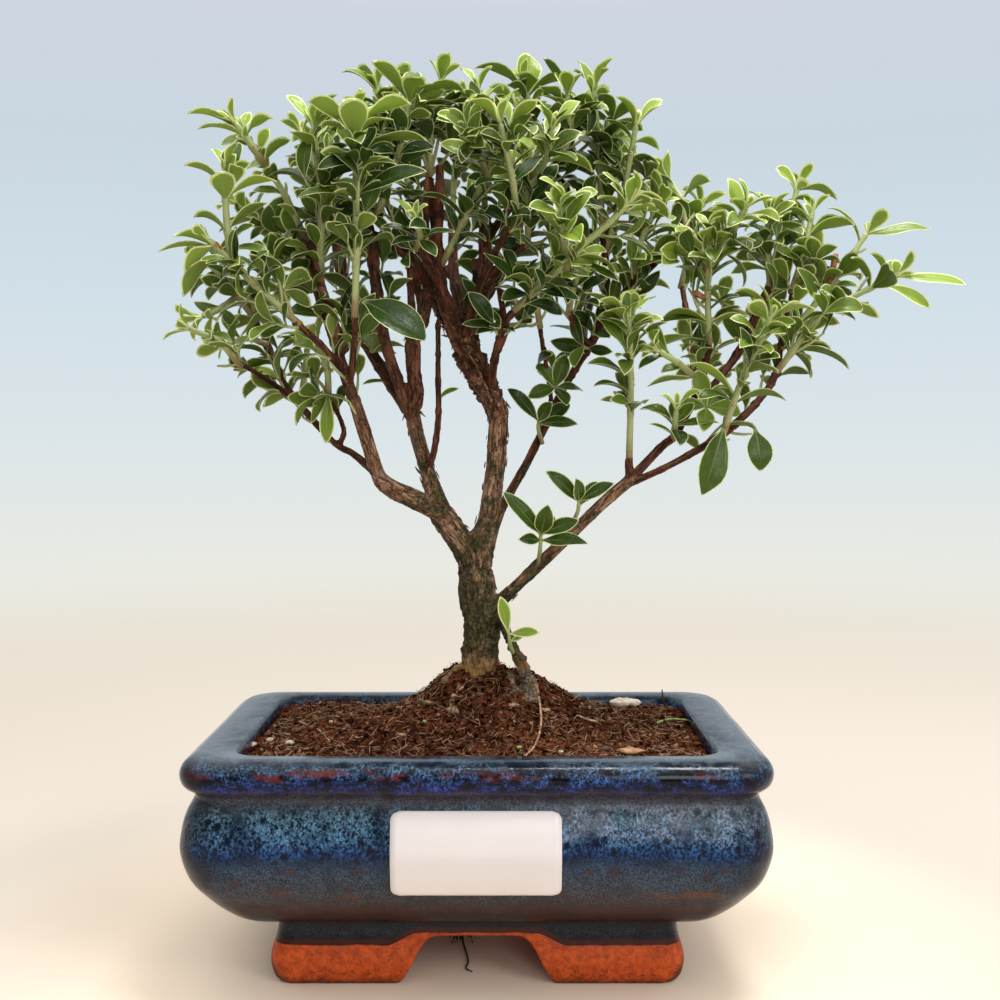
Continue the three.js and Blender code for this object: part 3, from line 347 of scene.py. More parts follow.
# Leaves: pixels of the root and of the tip, width in pixels, how far the tip stands behind the root in mm,
# youth, and how far the upper face is turned to the back (under 0: to the camera). The root is set on the
# stem of its shoot that is nearest, or on the nearest wood.
SIGHTED_LEAVES = {
    "left_tip": [
        (227, 188, 184, 163, 16, -2, 0.6, 0.15), (230, 202, 220, 172, 26, -8, 0.6, 0.6),
        (232, 198, 278, 178, 18, -2, 0.6, 0.3), (234, 182, 239, 140, 20, 4, 0.15, -0.8),
        (232, 180, 235, 153, 16, -2, 0.5, -0.8), (211, 250, 173, 232, 20, -4, 0.6, 0.5),
        (216, 257, 158, 252, 16, -2, 0.6, 0.15), (205, 256, 181, 271, 24, -4, 0.5, 0.6),
        (213, 262, 183, 297, 16, -2, 0.2, 0.3), (236, 229, 267, 200, 15, 0, 0.2, 0.4),
        (228, 232, 194, 214, 12, 0, 0.2, 0), (236, 242, 254, 224, 15, -3, 0.1, -0.6),
        (238, 248, 270, 250, 18, -3, 0.1, -0.5),
    ],
    "left_stub": [
        (240, 136, 187, 112, 12, -2, 0.8, 0.1), (242, 140, 197, 127, 12, -4, 0.8, 0.2),
        (240, 133, 220, 113, 12, 4, 0.8, 0.1), (243, 138, 272, 115, 13, 2, 0.7, 0.2),
        (240, 134, 249, 112, 12, 4, 0.6, -0.5), (262, 154, 268, 127, 13, -1, 0.9, -0.7),
        (268, 160, 291, 140, 11, 0, 0.3, 0.1), (305, 222, 278, 201, 14, -4, 0.4, 0.5),
    ],
    "left_front": [
        (358, 142, 352, 98, 30, -10, 0.65, 0.6), (354, 140, 309, 94, 16, -3, 0.7, 0.35),
        (360, 130, 412, 99, 15, -3, 0.7, 0.3), (359, 156, 428, 138, 14, 0, 0.3, 0.2),
        (358, 197, 426, 167, 22, -2, 0, -0.7), (357, 168, 389, 158, 14, -4, 0.5, 0.4),
        (353, 172, 320, 152, 13, -3, 0.5, 0.3), (356, 178, 370, 173, 14, -8, 0.5, 0.5),
        (354, 198, 334, 190, 16, -6, 0.5, 0.5), (355, 203, 296, 195, 14, -3, 0.2, -0.3),
        (356, 232, 374, 212, 18, -8, 0.5, 0.6), (355, 252, 360, 231, 12, -4, 0.1, -0.7),
    ],
    "left_top": [
        (379, 94, 342, 68, 18, 0, 0.5, -0.3), (380, 92, 358, 66, 16, 4, 0.6, 0.2),
    ],
    "left_centre_top": [
        (405, 104, 372, 61, 14, -2, 0.7, 0.2), (409, 103, 417, 74, 25, -8, 0.6, 0.6),
        (409, 102, 468, 84, 14, 0, 0.6, 0.15), (406, 106, 415, 69, 14, 6, 0.3, 0.1),
        (405, 118, 432, 113, 14, -6, 0.5, 0.5), (406, 120, 460, 101, 12, -2, 0.2, 0.1),
    ],
    "crown_centre": [
        (479, 122, 479, 89, 23, -10, 0.6, 0.6), (479, 130, 450, 103, 12, -2, 0.1, -0.2),
        (480, 140, 462, 123, 14, -8, 0.4, 0.5), (481, 140, 501, 125, 14, -6, 0.4, 0.4),
        (479, 118, 507, 95, 18, -4, 0.5, -0.4),
    ],
    "crown_peak": [
        (525, 97, 475, 64, 12, 0, 0.5, 0.1), (525, 97, 527, 54, 27, 4, 0.75, -0.5),
        (526, 94, 528, 70, 22, -8, 0.6, 0.6), (526, 97, 573, 74, 12, 0, 0.4, 0.1),
        (529, 104, 556, 86, 18, 2, 0.6, -0.4),
    ],
    "crown_peak_right": [
        (566, 102, 541, 60, 9, 3, 0.2, 0.1),
    ],
    "right_peak": [
        (594, 104, 579, 58, 17, 2, 0.55, -0.5), (595, 100, 610, 90, 8, 0, 0.6, 0.2),
    ],
    "crown_diagonal": [
        (484, 172, 451, 158, 16, -4, 0.1, -0.5), (487, 172, 514, 156, 14, -4, 0.7, 0.3),
        (488, 172, 489, 149, 13, 0, 0.1, -0.7), (488, 176, 516, 174, 13, -8, 0.5, 0.3),
        (462, 218, 422, 192, 14, -3, 0.1, -0.3), (464, 216, 460, 194, 14, 0, 0.05, -0.8),
        (466, 215, 489, 222, 14, -5, 0.1, -0.6), (463, 222, 461, 208, 7, -4, 0.3, -0.6),
    ],
    "crown_stub": [
        (545, 160, 531, 131, 21, -3, 0.75, 0.3), (543, 160, 513, 171, 11, -4, 0.5, 0.3),
        (545, 162, 595, 169, 16, -3, 0.75, 0.25),
    ],
    "front_stub": [
        (562, 240, 571, 204, 18, 0, 0.9, -0.6), (562, 240, 530, 200, 16, -4, 0.9, 0.3),
        (572, 258, 620, 270, 12, -3, 0.6, 0.2), (570, 262, 620, 281, 16, -3, 0.1, -0.6),
        (532, 292, 481, 256, 18, -4, 0.05, -0.7), (534, 290, 514, 263, 16, -2, 0.05, -0.7),
        (534, 291, 506, 275, 15, -6, 0.3, 0.3), (540, 286, 553, 275, 13, -7, 0.5, 0.4),
        (530, 294, 501, 299, 20, -3, 0.05, -0.6), (545, 281, 566, 258, 14, -2, 0.05, -0.5),
        (628, 206, 673, 215, 12, -3, 0.3, 0.2), (628, 205, 663, 200, 12, -3, 0.7, 0.3),
        (628, 206, 636, 175, 14, -2, 0.7, -0.6), (624, 210, 597, 197, 10, -1, 0.5, 0.2),
        (612, 222, 586, 203, 12, 2, 0.1, -0.4),
    ],
    "crown_rosette": [
        (418, 238, 381, 224, 13, -4, 0.05, -0.5), (418, 240, 391, 242, 12, -6, 0.05, -0.7),
        (420, 240, 436, 257, 15, -7, 0.05, -0.9), (420, 238, 455, 231, 14, -4, 0.05, -0.6),
        (419, 236, 420, 217, 12, -2, 0.1, -0.9), (418, 232, 408, 201, 16, 3, 0.05, -0.8),
    ],
    "arm_stub_shoot": [
        (709, 254, 671, 231, 15, -3, 0.2, 0.5), (708, 285, 665, 242, 12, 2, 0.5, 0.1),
        (708, 288, 676, 265, 10, 2, 0.2, 0.1), (708, 291, 733, 288, 16, -6, 0.3, 0.5),
        (709, 322, 659, 315, 13, -4, 0.2, 0.2), (709, 324, 657, 322, 12, 2, 0.05, -0.3),
        (709, 322, 750, 315, 13, -3, 0.3, 0.4), (709, 341, 640, 356, 18, -2, 0.1, 0),
        (738, 222, 713, 203, 16, -4, 0.3, -0.2), (745, 210, 731, 199, 9, -2, 0.7, 0.2),
        (746, 210, 749, 196, 10, 0, 0.6, -0.5), (742, 214, 728, 178, 24, 2, 0.85, -1),
        (722, 248, 756, 241, 15, -4, 0.2, 0.5), (722, 250, 757, 249, 12, 1, 0.05, -0.3),
    ],
    "arm_upright": [
        (629, 325, 626, 291, 16, 0, 0.05, -0.9), (629, 328, 584, 294, 14, -2, 0.1, -0.2),
        (629, 324, 606, 310, 9, -6, 0.6, 0.3), (630, 324, 655, 320, 11, -3, 0.5, 0.3),
        (630, 330, 650, 331, 10, -3, 0.2, 0.4),
    ],
    "arm_rosette": [
        (675, 424, 672, 401, 14, 2, 0.05, -0.8), (676, 424, 694, 402, 14, -1, 0.1, -0.8),
        (676, 426, 719, 422, 15, -3, 0.05, -0.9), (674, 426, 640, 407, 8, 2, 0.1, -0.2),
        (674, 434, 650, 424, 8, -3, 0.05, -0.5), (674, 430, 681, 445, 8, -5, 0.05, -0.3),
        (675, 432, 700, 448, 14, 3, 0.05, 0.4),
    ],
    "arm_side": [
        (694, 378, 647, 386, 12, -2, 0.4, 0.5), (684, 368, 661, 372, 15, -2, 0.05, -0.6),
        (664, 356, 638, 368, 13, -2, 0.05, -0.5),
    ],
    "arm_front": [
        (727, 425, 758, 430, 9, -2, 0.1, 0.2), (733, 403, 788, 397, 14, -3, 0.1, 0.3),
        (771, 320, 818, 307, 16, -3, 0.8, 0.3), (769, 322, 748, 304, 12, -3, 0.8, 0.3),
        (770, 318, 738, 286, 10, 3, 0.8, 0.2), (736, 397, 687, 362, 15, -4, 0.6, 0.35),
    ],
    "arm_long": [
        (871, 290, 850, 258, 12, 2, 0.3, 0.1), (895, 277, 896, 259, 12, 0, 0.9, -0.6),
        (886, 281, 870, 253, 8, 2, 0.5, 0.1), (886, 280, 890, 260, 10, 4, 0.2, -0.4),
        (828, 314, 880, 317, 14, -2, 0.4, 0.3), (826, 316, 818, 290, 15, -3, 0.8, 0.3),
        (794, 350, 851, 368, 12, -3, 0.1, 0.2), (796, 350, 832, 347, 15, -3, 0.7, 0.3),
    ],
    "arm_tip": [
        (860, 242, 831, 203, 9, 2, 0.4, 0.1), (828, 290, 859, 285, 16, -4, 0.05, -0.6),
        (835, 281, 863, 275, 10, 4, 0.1, -0.3), (816, 302, 799, 267, 18, -6, 0, -1.2),
    ],
    "arm_back": [
        (806, 245, 841, 217, 12, 0, 0.3, 0.3), (812, 220, 805, 202, 9, 0, 0.6, -0.6),
        (812, 222, 779, 211, 10, 0, 0.6, 0.2), (806, 250, 801, 235, 14, -5, 0.8, 0.4),
        (800, 262, 772, 246, 16, -4, 0, -0.8),
    ],
    "arm_top": [
        (796, 192, 778, 165, 15, -2, 0.8, -0.5), (795, 199, 814, 200, 15, -6, 0.3, 0.5),
        (797, 190, 838, 199, 8, 2, 0.4, 0.1), (796, 192, 809, 182, 9, -2, 0.8, 0.3),
    ],
    "arm_inner": [
        (770, 216, 759, 192, 13, 0, 0.3, -0.7), (770, 216, 779, 196, 12, -2, 0.7, -0.2),
        (769, 218, 742, 228, 16, -4, 0.3, 0.4), (769, 230, 805, 225, 14, -3, 0.2, 0.4),
    ],
    "right_shoulder": [
        (630, 158, 660, 164, 11, -2, 0.2, 0.1), (633, 142, 661, 148, 12, -3, 0.7, 0.2),
    ],
    "right_middle": [
        (641, 255, 671, 260, 15, -3, 0.05, -0.6),
    ],
    "left_hanging": [
        (326, 392, 326, 444, 15, -2, 0.4, -0.8), (325, 390, 312, 424, 12, -2, 0.05, -0.9),
    ],
    "wood": [
        (496, 324, 476, 305, 13, -2, 0.05, -0.8), (494, 326, 462, 324, 15, -3, 0.05, -0.9),
        (496, 328, 475, 331, 12, -4, 0.05, -0.7), (463, 328, 443, 330, 11, -2, 0.05, -0.8),
        (500, 328, 515, 331, 10, -3, 0.05, -0.6), (642, 292, 671, 286, 15, -3, 0.2, 0.4),
        (298, 387, 263, 408, 18, 0, 0.2, 0.5), (285, 374, 240, 395, 14, 0, 0.1, 0.3),
        (270, 362, 235, 376, 14, 0, 0.1, 0.3), (448, 400, 459, 388, 9, -1, 0.3, -0.6),
        (380, 388, 362, 383, 7, -1, 0.2, -0.4),
    ],
}
# Thin stems inside the crown: pixels and depth of the middle line's points, radius in mm.
INNER_STEMS = [
    ([(414, 336, -7), (411, 297, -9), (408, 262, -11), (393, 247, -13), (378, 233, -15)], 1.4),
    ([(421, 316, -6), (419, 300, -5), (416, 280, -4), (414, 253, -4)], 1.3),
    ([(470, 330, 3), (474, 312, 5), (475, 285, 6), (474, 258, 6)], 1.2),
    ([(497, 352, -7), (505, 330, -9), (503, 312, -9), (499, 288, -9)], 1.5),
    ([(452, 312, -6), (440, 283, -8), (437, 253, -10), (439, 215, -12), (440, 165, -11)], 2.1),
    ([(428, 262, -7), (426, 235, -10), (426, 205, -11), (427, 178, -10)], 1.5),
    ([(379, 318, -10), (376, 268, -14), (374, 232, -14)], 1.6),
    ([(346, 352, -22), (326, 300, -24), (316, 262, -24), (312, 222, -23)], 1.6),
]
# Where those stems show: the middle, half width and half height of places that short twigs leave free.
STEM_WINDOWS = [
    (434, 208, 9, 26), (374, 262, 8, 26), (318, 268, 8, 22), (440, 270, 14, 30), (404, 345, 14, 30),
]
# Extra tufts of leaves inside the crown: pixels of their middles.
FILLING_TUFTS = [
    (285, 262), (283, 290), (262, 276), (706, 408), (525, 326), (372, 352), (646, 178), (612, 122),
    (792, 350), (300, 285), (630, 222), (815, 262), (822, 282), (452, 150), (440, 130), (555, 205),
    (550, 235), (558, 262), (255, 292), (312, 292), (258, 320), (316, 378), (320, 394), (645, 240),
    (555, 388), (424, 142), (400, 165), (400, 195), (408, 130), (510, 232), (560, 286), (700, 322),
    (722, 302),
]
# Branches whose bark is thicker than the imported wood's, as a share of its radius.
GIRTH_OF_BARK = {
    "left_mid": 1.25, "low_left": 1.1, "left_dark": 1.25, "left_inner": 1.5, "centre_stem": 1.2,
    "right_stem": 1.2,
}
# Leaf size of a shoot, where it isn't 1.
SIZE_OF_LEAVES = {
    "left_low": 0.68, "left_under": 0.75, "left_middle": 0.81, "arm_tip": 0.85, "left_stub": 0.82,
    "left_tip": 0.92, "left_back": 0.82, "left_far_back": 0.86, "left_inner_low": 0.85,
}
SMALLEST_WITH_TWIGS = 0.8  # leaf size under which a shoot carries no side twigs
# Where the short twigs' leaves may show, as pixels round the crown, and the gaps in it: middle, half width
# and half height.
CROWN_OUTLINE = [
    (228, 150), (262, 128), (292, 132), (318, 100), (348, 84), (400, 84), (440, 80), (480, 82),
    (512, 74), (560, 76), (598, 88), (622, 118), (648, 136), (652, 166), (676, 182), (706, 196),
    (745, 204), (775, 194), (806, 196), (816, 222), (828, 250), (842, 272), (872, 300), (846, 318),
    (826, 352), (800, 378), (770, 384), (735, 400), (712, 440), (664, 444), (644, 400), (606, 406),
    (592, 424), (548, 424), (520, 400), (508, 340), (430, 338), (424, 390), (400, 384), (372, 350),
    (352, 372), (334, 440), (302, 404), (262, 404), (234, 384), (196, 350), (186, 328), (196, 306),
    (184, 290), (186, 262), (210, 240), (204, 216), (222, 196),
]
CROWN_GAPS = [
    (675, 288, 19, 22), (315, 328, 16, 18), (648, 380, 13, 30), (345, 412, 14, 14), (675, 177, 18, 14),
    (286, 172, 14, 14), (224, 206, 14, 16), (856, 250, 16, 16), (690, 300, 16, 14),
    (318, 345, 14, 18), (672, 262, 14, 12), (668, 350, 12, 12), (520, 352, 14, 10),
]
# Dead and cut stubs of green stems: pixels of the root and the end, width in pixels.
DEAD_STUBS = [
    (257, 166, 254, 146, 8), (222, 251, 214, 243, 7), (327, 168, 317, 158, 8), (570, 262, 574, 254, 9),
    (528, 176, 527, 166, 9), (590, 130, 591, 121, 8), (709, 244, 713, 233, 8), (822, 280, 836, 254, 7),
    (826, 314, 836, 292, 7), (700, 300, 694, 292, 7), (640, 232, 646, 224, 7), (372, 180, 380, 174, 6),
]
DRY_LEAF = 2
# Loose bits on the soil: pixels, radius in mm, kind (0 stone, 1 green, 2 dry leaf, 3 black).
SOIL_BITS = [
    (253, 745, 1.6, 0), (270, 740, 1.2, 0), (290, 743, 1.4, 0), (331, 722, 0.8, 0), (561, 752, 0.9, 0),
    (288, 750, 0.9, 1), (290, 705, 0.9, 1), (352, 715, 0.8, 1), (425, 722, 0.9, 1), (519, 748, 1.0, 1),
    (513, 705, 1.9, 2), (545, 710, 1.6, 2), (402, 735, 1.3, 2), (605, 750, 1.7, 3), (470, 742, 1.1, 3),
]
# Sticks and roots on the soil: pixels along them, radius in mm, kind as above.
SOIL_STICKS = [
    ([(535, 680), (539, 700), (541, 725), (535, 746), (525, 757)], 0.45, 2),
    ([(655, 724), (670, 720), (688, 721)], 0.5, 1), ([(665, 707), (663, 698), (662, 690)], 0.3, 3),
    ([(380, 700), (398, 708), (420, 706)], 0.35, 2), ([(575, 715), (596, 722), (620, 718)], 0.4, 2),
    ([(300, 722), (318, 730), (330, 742)], 0.35, 2),
]
# How old the bark of a branch looks, where that doesn't follow from its radius.
AGE_OF_BARK = {
    "low_left": 0.9, "left_main": 0.8, "left_mid": 0.5, "left_dark": 0.35, "left_inner": 0.4,
    "right_arm": 0.85,
}
# Roots that run down the mound: pixels along them, first and last radius in mm.
MOUND_ROOTS = [
    ([(468, 655), (457, 668), (444, 680), (430, 689), (415, 699)], 1.5, 0.7),
    ([(470, 676), (458, 690), (450, 703), (462, 713)], 0.9, 0.5),
    ([(418, 700), (440, 706), (466, 716)], 0.9, 0.5),
    ([(518, 658), (526, 678), (527, 699)], 2.0, 1.5),
    ([(527, 684), (516, 690), (503, 697), (490, 706)], 1.1, 0.5),
    ([(524, 668), (533, 684), (536, 702)], 1.5, 0.8),
    ([(512, 662), (511, 678), (517, 694)], 1.5, 0.7),
]
LOOSE_ROOT = [(-6, -3, 2.5), (-3.3, -17.4, 0.5), (-3.8, -23.7, 0.5), (-1.8, -26.7, 0.5)]


def seen_at(x, y, depth):
    """The place that the camera sees at a pixel, at a depth behind the pot's middle."""
    right, up = (x - PICTURE_MIDDLE) / FOCAL_PIXELS, (PICTURE_MIDDLE - y) / FOCAL_PIXELS
    ahead = (depth - CAMERA_PLACE[1]) / (math.cos(CAMERA_TILT) + up * math.sin(CAMERA_TILT))
    rise = ahead * (up * math.cos(CAMERA_TILT) - math.sin(CAMERA_TILT))
    return np.array([CAMERA_PLACE[0] + right * ahead, depth, CAMERA_PLACE[2] + rise])


def pixels_of(points):
    """The pixels at which the camera sees points."""
    x, y, z = (np.asarray(points, float) - CAMERA_PLACE).T
    ahead = y * math.cos(CAMERA_TILT) - z * math.sin(CAMERA_TILT)
    up = y * math.sin(CAMERA_TILT) + z * math.cos(CAMERA_TILT)
    right, down = FOCAL_PIXELS * x / ahead, FOCAL_PIXELS * up / ahead
    return np.column_stack([PICTURE_MIDDLE + right, PICTURE_MIDDLE - down])


def nearest_seen(points, x, y):
    """The one of some points that the camera sees nearest to a pixel."""
    return points[np.argmin(np.linalg.norm(pixels_of(points) - (x, y), axis=1))]


def in_crown(points):
    """Which points the camera sees inside the crown's outline and clear of its gaps."""
    x, y = pixels_of(points).T
    inside = np.zeros(len(x), bool)
    for (ax, ay), (bx, by) in zip(CROWN_OUTLINE, CROWN_OUTLINE[1:] + CROWN_OUTLINE[:1]):
        if ay != by:
            inside ^= ((ay > y) != (by > y)) & (x < ax + (y - ay) * (bx - ax) / (by - ay))
    for gap_x, gap_y, half_width, half_height in CROWN_GAPS + STEM_WINDOWS:
        inside &= np.hypot((x - gap_x) / half_width, (y - gap_y) / half_height) > 1
    return inside


# ---- meshes -------------------------------------------------------------------------------


def unit(vector):
    return vector / np.linalg.norm(vector)


class Shape:
    """A mesh gathered part by part, with one material number a face and four look values a point."""

    def __init__(self):
        self.points, self.looks = [], []
        self.quads, self.quad_kinds, self.triangles, self.triangle_kinds = [], [], [], []
        self.sharp = []
        self.count = 0

    def add(self, points, quads=(), triangles=(), look=(0, 0, 0, 0), kind=0, sharp=()):
        """`look` is one value for all the points or a row for each; `kind` likewise for the faces."""
        points = np.asarray(points, float).reshape(-1, 3)
        self.points.append(points)
        self.looks.append(np.broadcast_to(np.asarray(look, float), (len(points), 4)))
        for faces, corners, store, kinds in (
            (quads, 4, self.quads, self.quad_kinds),
            (triangles, 3, self.triangles, self.triangle_kinds),
        ):
            faces = np.asarray(faces, int).reshape(-1, corners)
            store.append(faces + self.count)
            kinds.append(np.broadcast_to(np.asarray(kind if corners == 4 else np.max(kind)), (len(faces),)))
        self.sharp.append(np.asarray(sharp, int) + self.count)
        self.count += len(points)

    def mesh(self, name):
        """The mesh in the frame's metres."""
        points = np.concatenate(self.points) * MM + POT_MIDDLE
        quads, triangles = np.concatenate(self.quads), np.concatenate(self.triangles)
        corners = np.concatenate([quads.ravel(), triangles.ravel()])
        starts = np.concatenate([np.arange(len(quads)) * 4, 4 * len(quads) + np.arange(len(triangles)) * 3])
        mesh = bpy.data.meshes.new(name)
        mesh.vertices.add(len(points))
        mesh.vertices.foreach_set("co", points.ravel())
        mesh.loops.add(len(corners))
        mesh.loops.foreach_set("vertex_index", corners)
        mesh.polygons.add(len(starts))
        mesh.polygons.foreach_set("loop_start", starts)
        kinds = np.concatenate([*self.quad_kinds, *self.triangle_kinds])
        mesh.polygons.foreach_set("material_index", kinds.astype(np.int32))
        mesh.update(calc_edges=True)
        look = mesh.attributes.new("look", "FLOAT_COLOR", "POINT")
        look.data.foreach_set("color", np.concatenate(self.looks).astype(np.float32).ravel())
        on_sharp = np.zeros(len(points), bool)
        on_sharp[np.concatenate(self.sharp).astype(int)] = True
        ends = np.empty(2 * len(mesh.edges), np.int32)
        mesh.edges.foreach_get("vertices", ends)
        edge_sharp = on_sharp[ends.reshape(-1, 2)].all(1)
        mesh.attributes.new("sharp_edge", "BOOLEAN", "EDGE").data.foreach_set("value", edge_sharp)
        return mesh

    def piece(self, name, materials, slot, replaced=()):
        return add_piece(self.mesh(name), name, materials, replaced)


def add_piece(mesh, name, materials, replaced=()):
    """Puts a mesh into the scene as a piece of the object."""
    for material in materials:
        mesh.materials.append(material)
    mesh.shade_smooth()
    piece = bpy.data.objects.new(name, mesh)
    bpy.context.scene.collection.objects.link(piece)
    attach(piece, "root")
    if replaced:
        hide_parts(*replaced)
    return piece


def smooth_line(points, per_span):
    """Catmull-Rom line through rows of numbers, `per_span` steps between neighbours."""
    points = np.asarray(points, float)
    padded = np.vstack([2 * points[0] - points[1], points, 2 * points[-1] - points[-2]])
    share = np.arange(per_span)[:, None] / per_span
    rows = []
    for a, b, c, d in zip(padded, padded[1:], padded[2:], padded[3:]):
        rows.append(
            b + 0.5 * share * (c - a)
            + share**2 * (a - 2.5 * b + 2 * c - 0.5 * d)
            + share**3 * 0.5 * (3 * b - 3 * c + d - a)
        )
    return np.vstack([*rows, points[-1:]])


def tube(shape, line, radii, sides, look=(0, 0, 0, 0), kind=0):
    """Round rod along a line, closed at both ends by a low cap."""
    line = np.asarray(line, float)
    tangents = np.gradient(line, axis=0)
    tangents /= np.linalg.norm(tangents, axis=1)[:, None]
    normal = np.array([0.31, -0.94, 0.13])
    angles = np.arange(sides) / sides * 2 * math.pi
    rings = []
    for centre, tangent, radius in zip(line, tangents, radii):
        normal = unit(normal - tangent * normal.dot(tangent))
        across = np.cross(tangent, normal)
        rings.append(centre + radius * (np.outer(np.cos(angles), normal) + np.outer(np.sin(angles), across)))
    ends = [line[0] - tangents[0] * radii[0] * 0.3, line[-1] + tangents[-1] * radii[-1] * 0.3]
    points = np.vstack([*rings, ends])
    side = np.arange(sides)
    beside = (side + 1) % sides
    levels = np.arange(len(line) - 1)[:, None] * sides
    quads = np.stack([levels + side, levels + beside, levels + sides + beside, levels + sides + side], -1)
    first, last, top = sides * len(line), sides * len(line) + 1, sides * (len(line) - 1)
    triangles = np.vstack([
        np.stack([np.full(sides, first), beside, side], -1),
        np.stack([np.full(sides, last), top + side, top + beside], -1),
    ])
    if np.ndim(look) == 2:
        look = np.vstack([np.repeat(look, sides, axis=0), look[[0, -1]]])
    shape.add(points, quads.reshape(-1, 4), triangles, look, kind)


def loft(rings, closed=False):
    """Points and quads through rings of equally many points; `closed` joins the last ring to the first."""
    count, sides = len(rings), len(rings[0])
    side = np.arange(sides)
    beside = (side + 1) % sides
    levels = np.arange(count if closed else count - 1)[:, None]
    here, above = levels * sides, (levels + 1) % count * sides
    quads = np.stack([here + side, here + beside, above + beside, above + side], -1).reshape(-1, 4)
    return np.vstack(rings), quads


def rounded_ring(half_width, half_depth, corner, height, corner_steps=12, long_steps=44, short_steps=26):
    """Level rounded rectangle from its right end, counter-clockwise from above, with points on its sides."""
    ring = []
    arc = np.linspace(0, math.pi / 2, corner_steps + 1)
    for quarter, (sign_x, sign_y) in enumerate([(1, 1), (-1, 1), (-1, -1), (1, -1)]):
        angle = arc + quarter * math.pi / 2
        centre = np.array([sign_x * (half_width - corner), sign_y * (half_depth - corner)])
        ring.append(centre + corner * np.stack([np.cos(angle), np.sin(angle)], -1))
    points = []
    for quarter, corner_points in enumerate(ring):
        points.append(corner_points)
        steps = long_steps if quarter % 2 == 0 else short_steps
        share = np.linspace(0, 1, steps + 1)[1:-1, None]
        following = ring[(quarter + 1) % 4][0]
        points.append(corner_points[-1] * (1 - share) + following * share)
    flat = np.vstack(points)
    return np.column_stack([flat, np.full(len(flat), height)])


def evaluated(mesh, *modifiers):
    """A mesh after modifiers, each given as its type and settings."""
    holder = bpy.data.objects.new("holder", mesh)
    bpy.context.scene.collection.objects.link(holder)
    for kind, settings in modifiers:
        modifier = holder.modifiers.new(kind, kind)
        for key, value in settings.items():
            setattr(modifier, key, value)
    graph = bpy.context.evaluated_depsgraph_get()
    result = bpy.data.meshes.new_from_object(holder.evaluated_get(graph), depsgraph=graph)
    bpy.data.objects.remove(holder)
    return result


def mesh_points(mesh):
    """A mesh's points, in millimetres from the middle of the pot's foot, and its normals."""
    points = np.empty(3 * len(mesh.vertices))
    normals = np.empty(3 * len(mesh.vertices))
    mesh.vertices.foreach_get("co", points)
    mesh.vertices.foreach_get("normal", normals)
    return (points.reshape(-1, 3) - POT_MIDDLE) / MM, normals.reshape(-1, 3)


def set_points(mesh, points, looks):
    """Moves a mesh's points and gives it its look values."""
    mesh.vertices.foreach_set("co", (points * MM + POT_MIDDLE).ravel())
    look = mesh.attributes.new("look", "FLOAT_COLOR", "POINT")
    look.data.foreach_set("color", looks.astype(np.float32).ravel())
    mesh.update()


def fractal(points, size, octaves=3, seed=0.0):
    """Noise from about -1 to 1 at points, with features of about `size` millimetres."""
    shifted = np.asarray(points) / size + seed
    return np.array([noise.fractal(point, 1.0, 2.0, octaves) for point in shifted])


# ---- materials ----------------------------------------------------------------------------


class Nodes:
    """Nodes written as expressions: every method returns a socket, and takes sockets or numbers."""

    def __init__(self, tree):
        self.tree = tree
        self.tree.nodes.clear()

    def node(self, kind, inputs=None, **settings):
        node = self.tree.nodes.new(kind)
        for key, value in settings.items():
            setattr(node, key, value)
        for key, value in (inputs or {}).items():
            if isinstance(value, bpy.types.NodeSocket):
                self.tree.links.new(value, node.inputs[key])
            else:
                node.inputs[key].default_value = value
        return node

    def output(self, kind, shader):
        self.tree.links.new(shader, self.node(kind).inputs["Surface"])

    def math(self, operation, *values, clamp=False):
        inputs = dict(enumerate(values))
        return self.node("ShaderNodeMath", inputs, operation=operation, use_clamp=clamp).outputs[0]

    def times(self, a, b):
        return self.math("MULTIPLY", a, b)

    def plus(self, a, b, clamp=False):
        return self.math("ADD", a, b, clamp=clamp)

    def minus(self, a, b, clamp=False):
        return self.math("SUBTRACT", a, b, clamp=clamp)

    def wobble(self, pattern, amount):
        """A pattern from 0 to 1 as a shift of up to half an amount either way."""
        return self.times(self.minus(pattern, 0.5), amount)

    def vector(self, operation, vector, other=None, scale=None, output=0):
        inputs = {0: vector}
        if other is not None:
            inputs[1] = other
        if scale is not None:
            inputs["Scale"] = scale
        return self.node("ShaderNodeVectorMath", inputs, operation=operation).outputs[output]

    def axis(self, vector, name):
        return self.node("ShaderNodeSeparateXYZ", {0: vector}).outputs[name]

    def band(self, value, low, high, to_low=0.0, to_high=1.0, curve="SMOOTHSTEP"):
        """Step of a value from `low` to `high`, smooth or, with LINEAR, straight."""
        inputs = {"Value": value, "From Min": low, "From Max": high, "To Min": to_low, "To Max": to_high}
        return self.node("ShaderNodeMapRange", inputs, interpolation_type=curve).outputs[0]

    def zone(self, value, start, full, fading, end):
        """1 from `full` to `fading`, and 0 before `start` and after `end`."""
        return self.times(self.band(value, start, full), self.band(value, end, fading))

    def between(self, share, a, b):
        """The number at a share of the way from `a` to `b`."""
        return self.node("ShaderNodeMix", {0: share, 2: a, 3: b}, data_type="FLOAT").outputs[0]

    def mix(self, share, a, b):
        """The colour at a share of the way from `a` to `b`."""
        inputs = {0: share}
        for socket, colour in ((6, a), (7, b)):
            inputs[socket] = colour if isinstance(colour, bpy.types.NodeSocket) else (*colour, 1)
        return self.node("ShaderNodeMix", inputs, data_type="RGBA").outputs[2]

    def ramp(self, value, stops):
        """Colours along a value from 0 to 1."""
        node = self.node("ShaderNodeValToRGB", {0: value})
        elements = node.color_ramp.elements
        elements[1].position = stops[-1][0]
        for position, _ in stops[1:-1]:
            elements.new(position)
        for element, (position, colour) in zip(elements, stops):
            element.position = position
            element.color = (*colour, 1)
        return node.outputs[0]


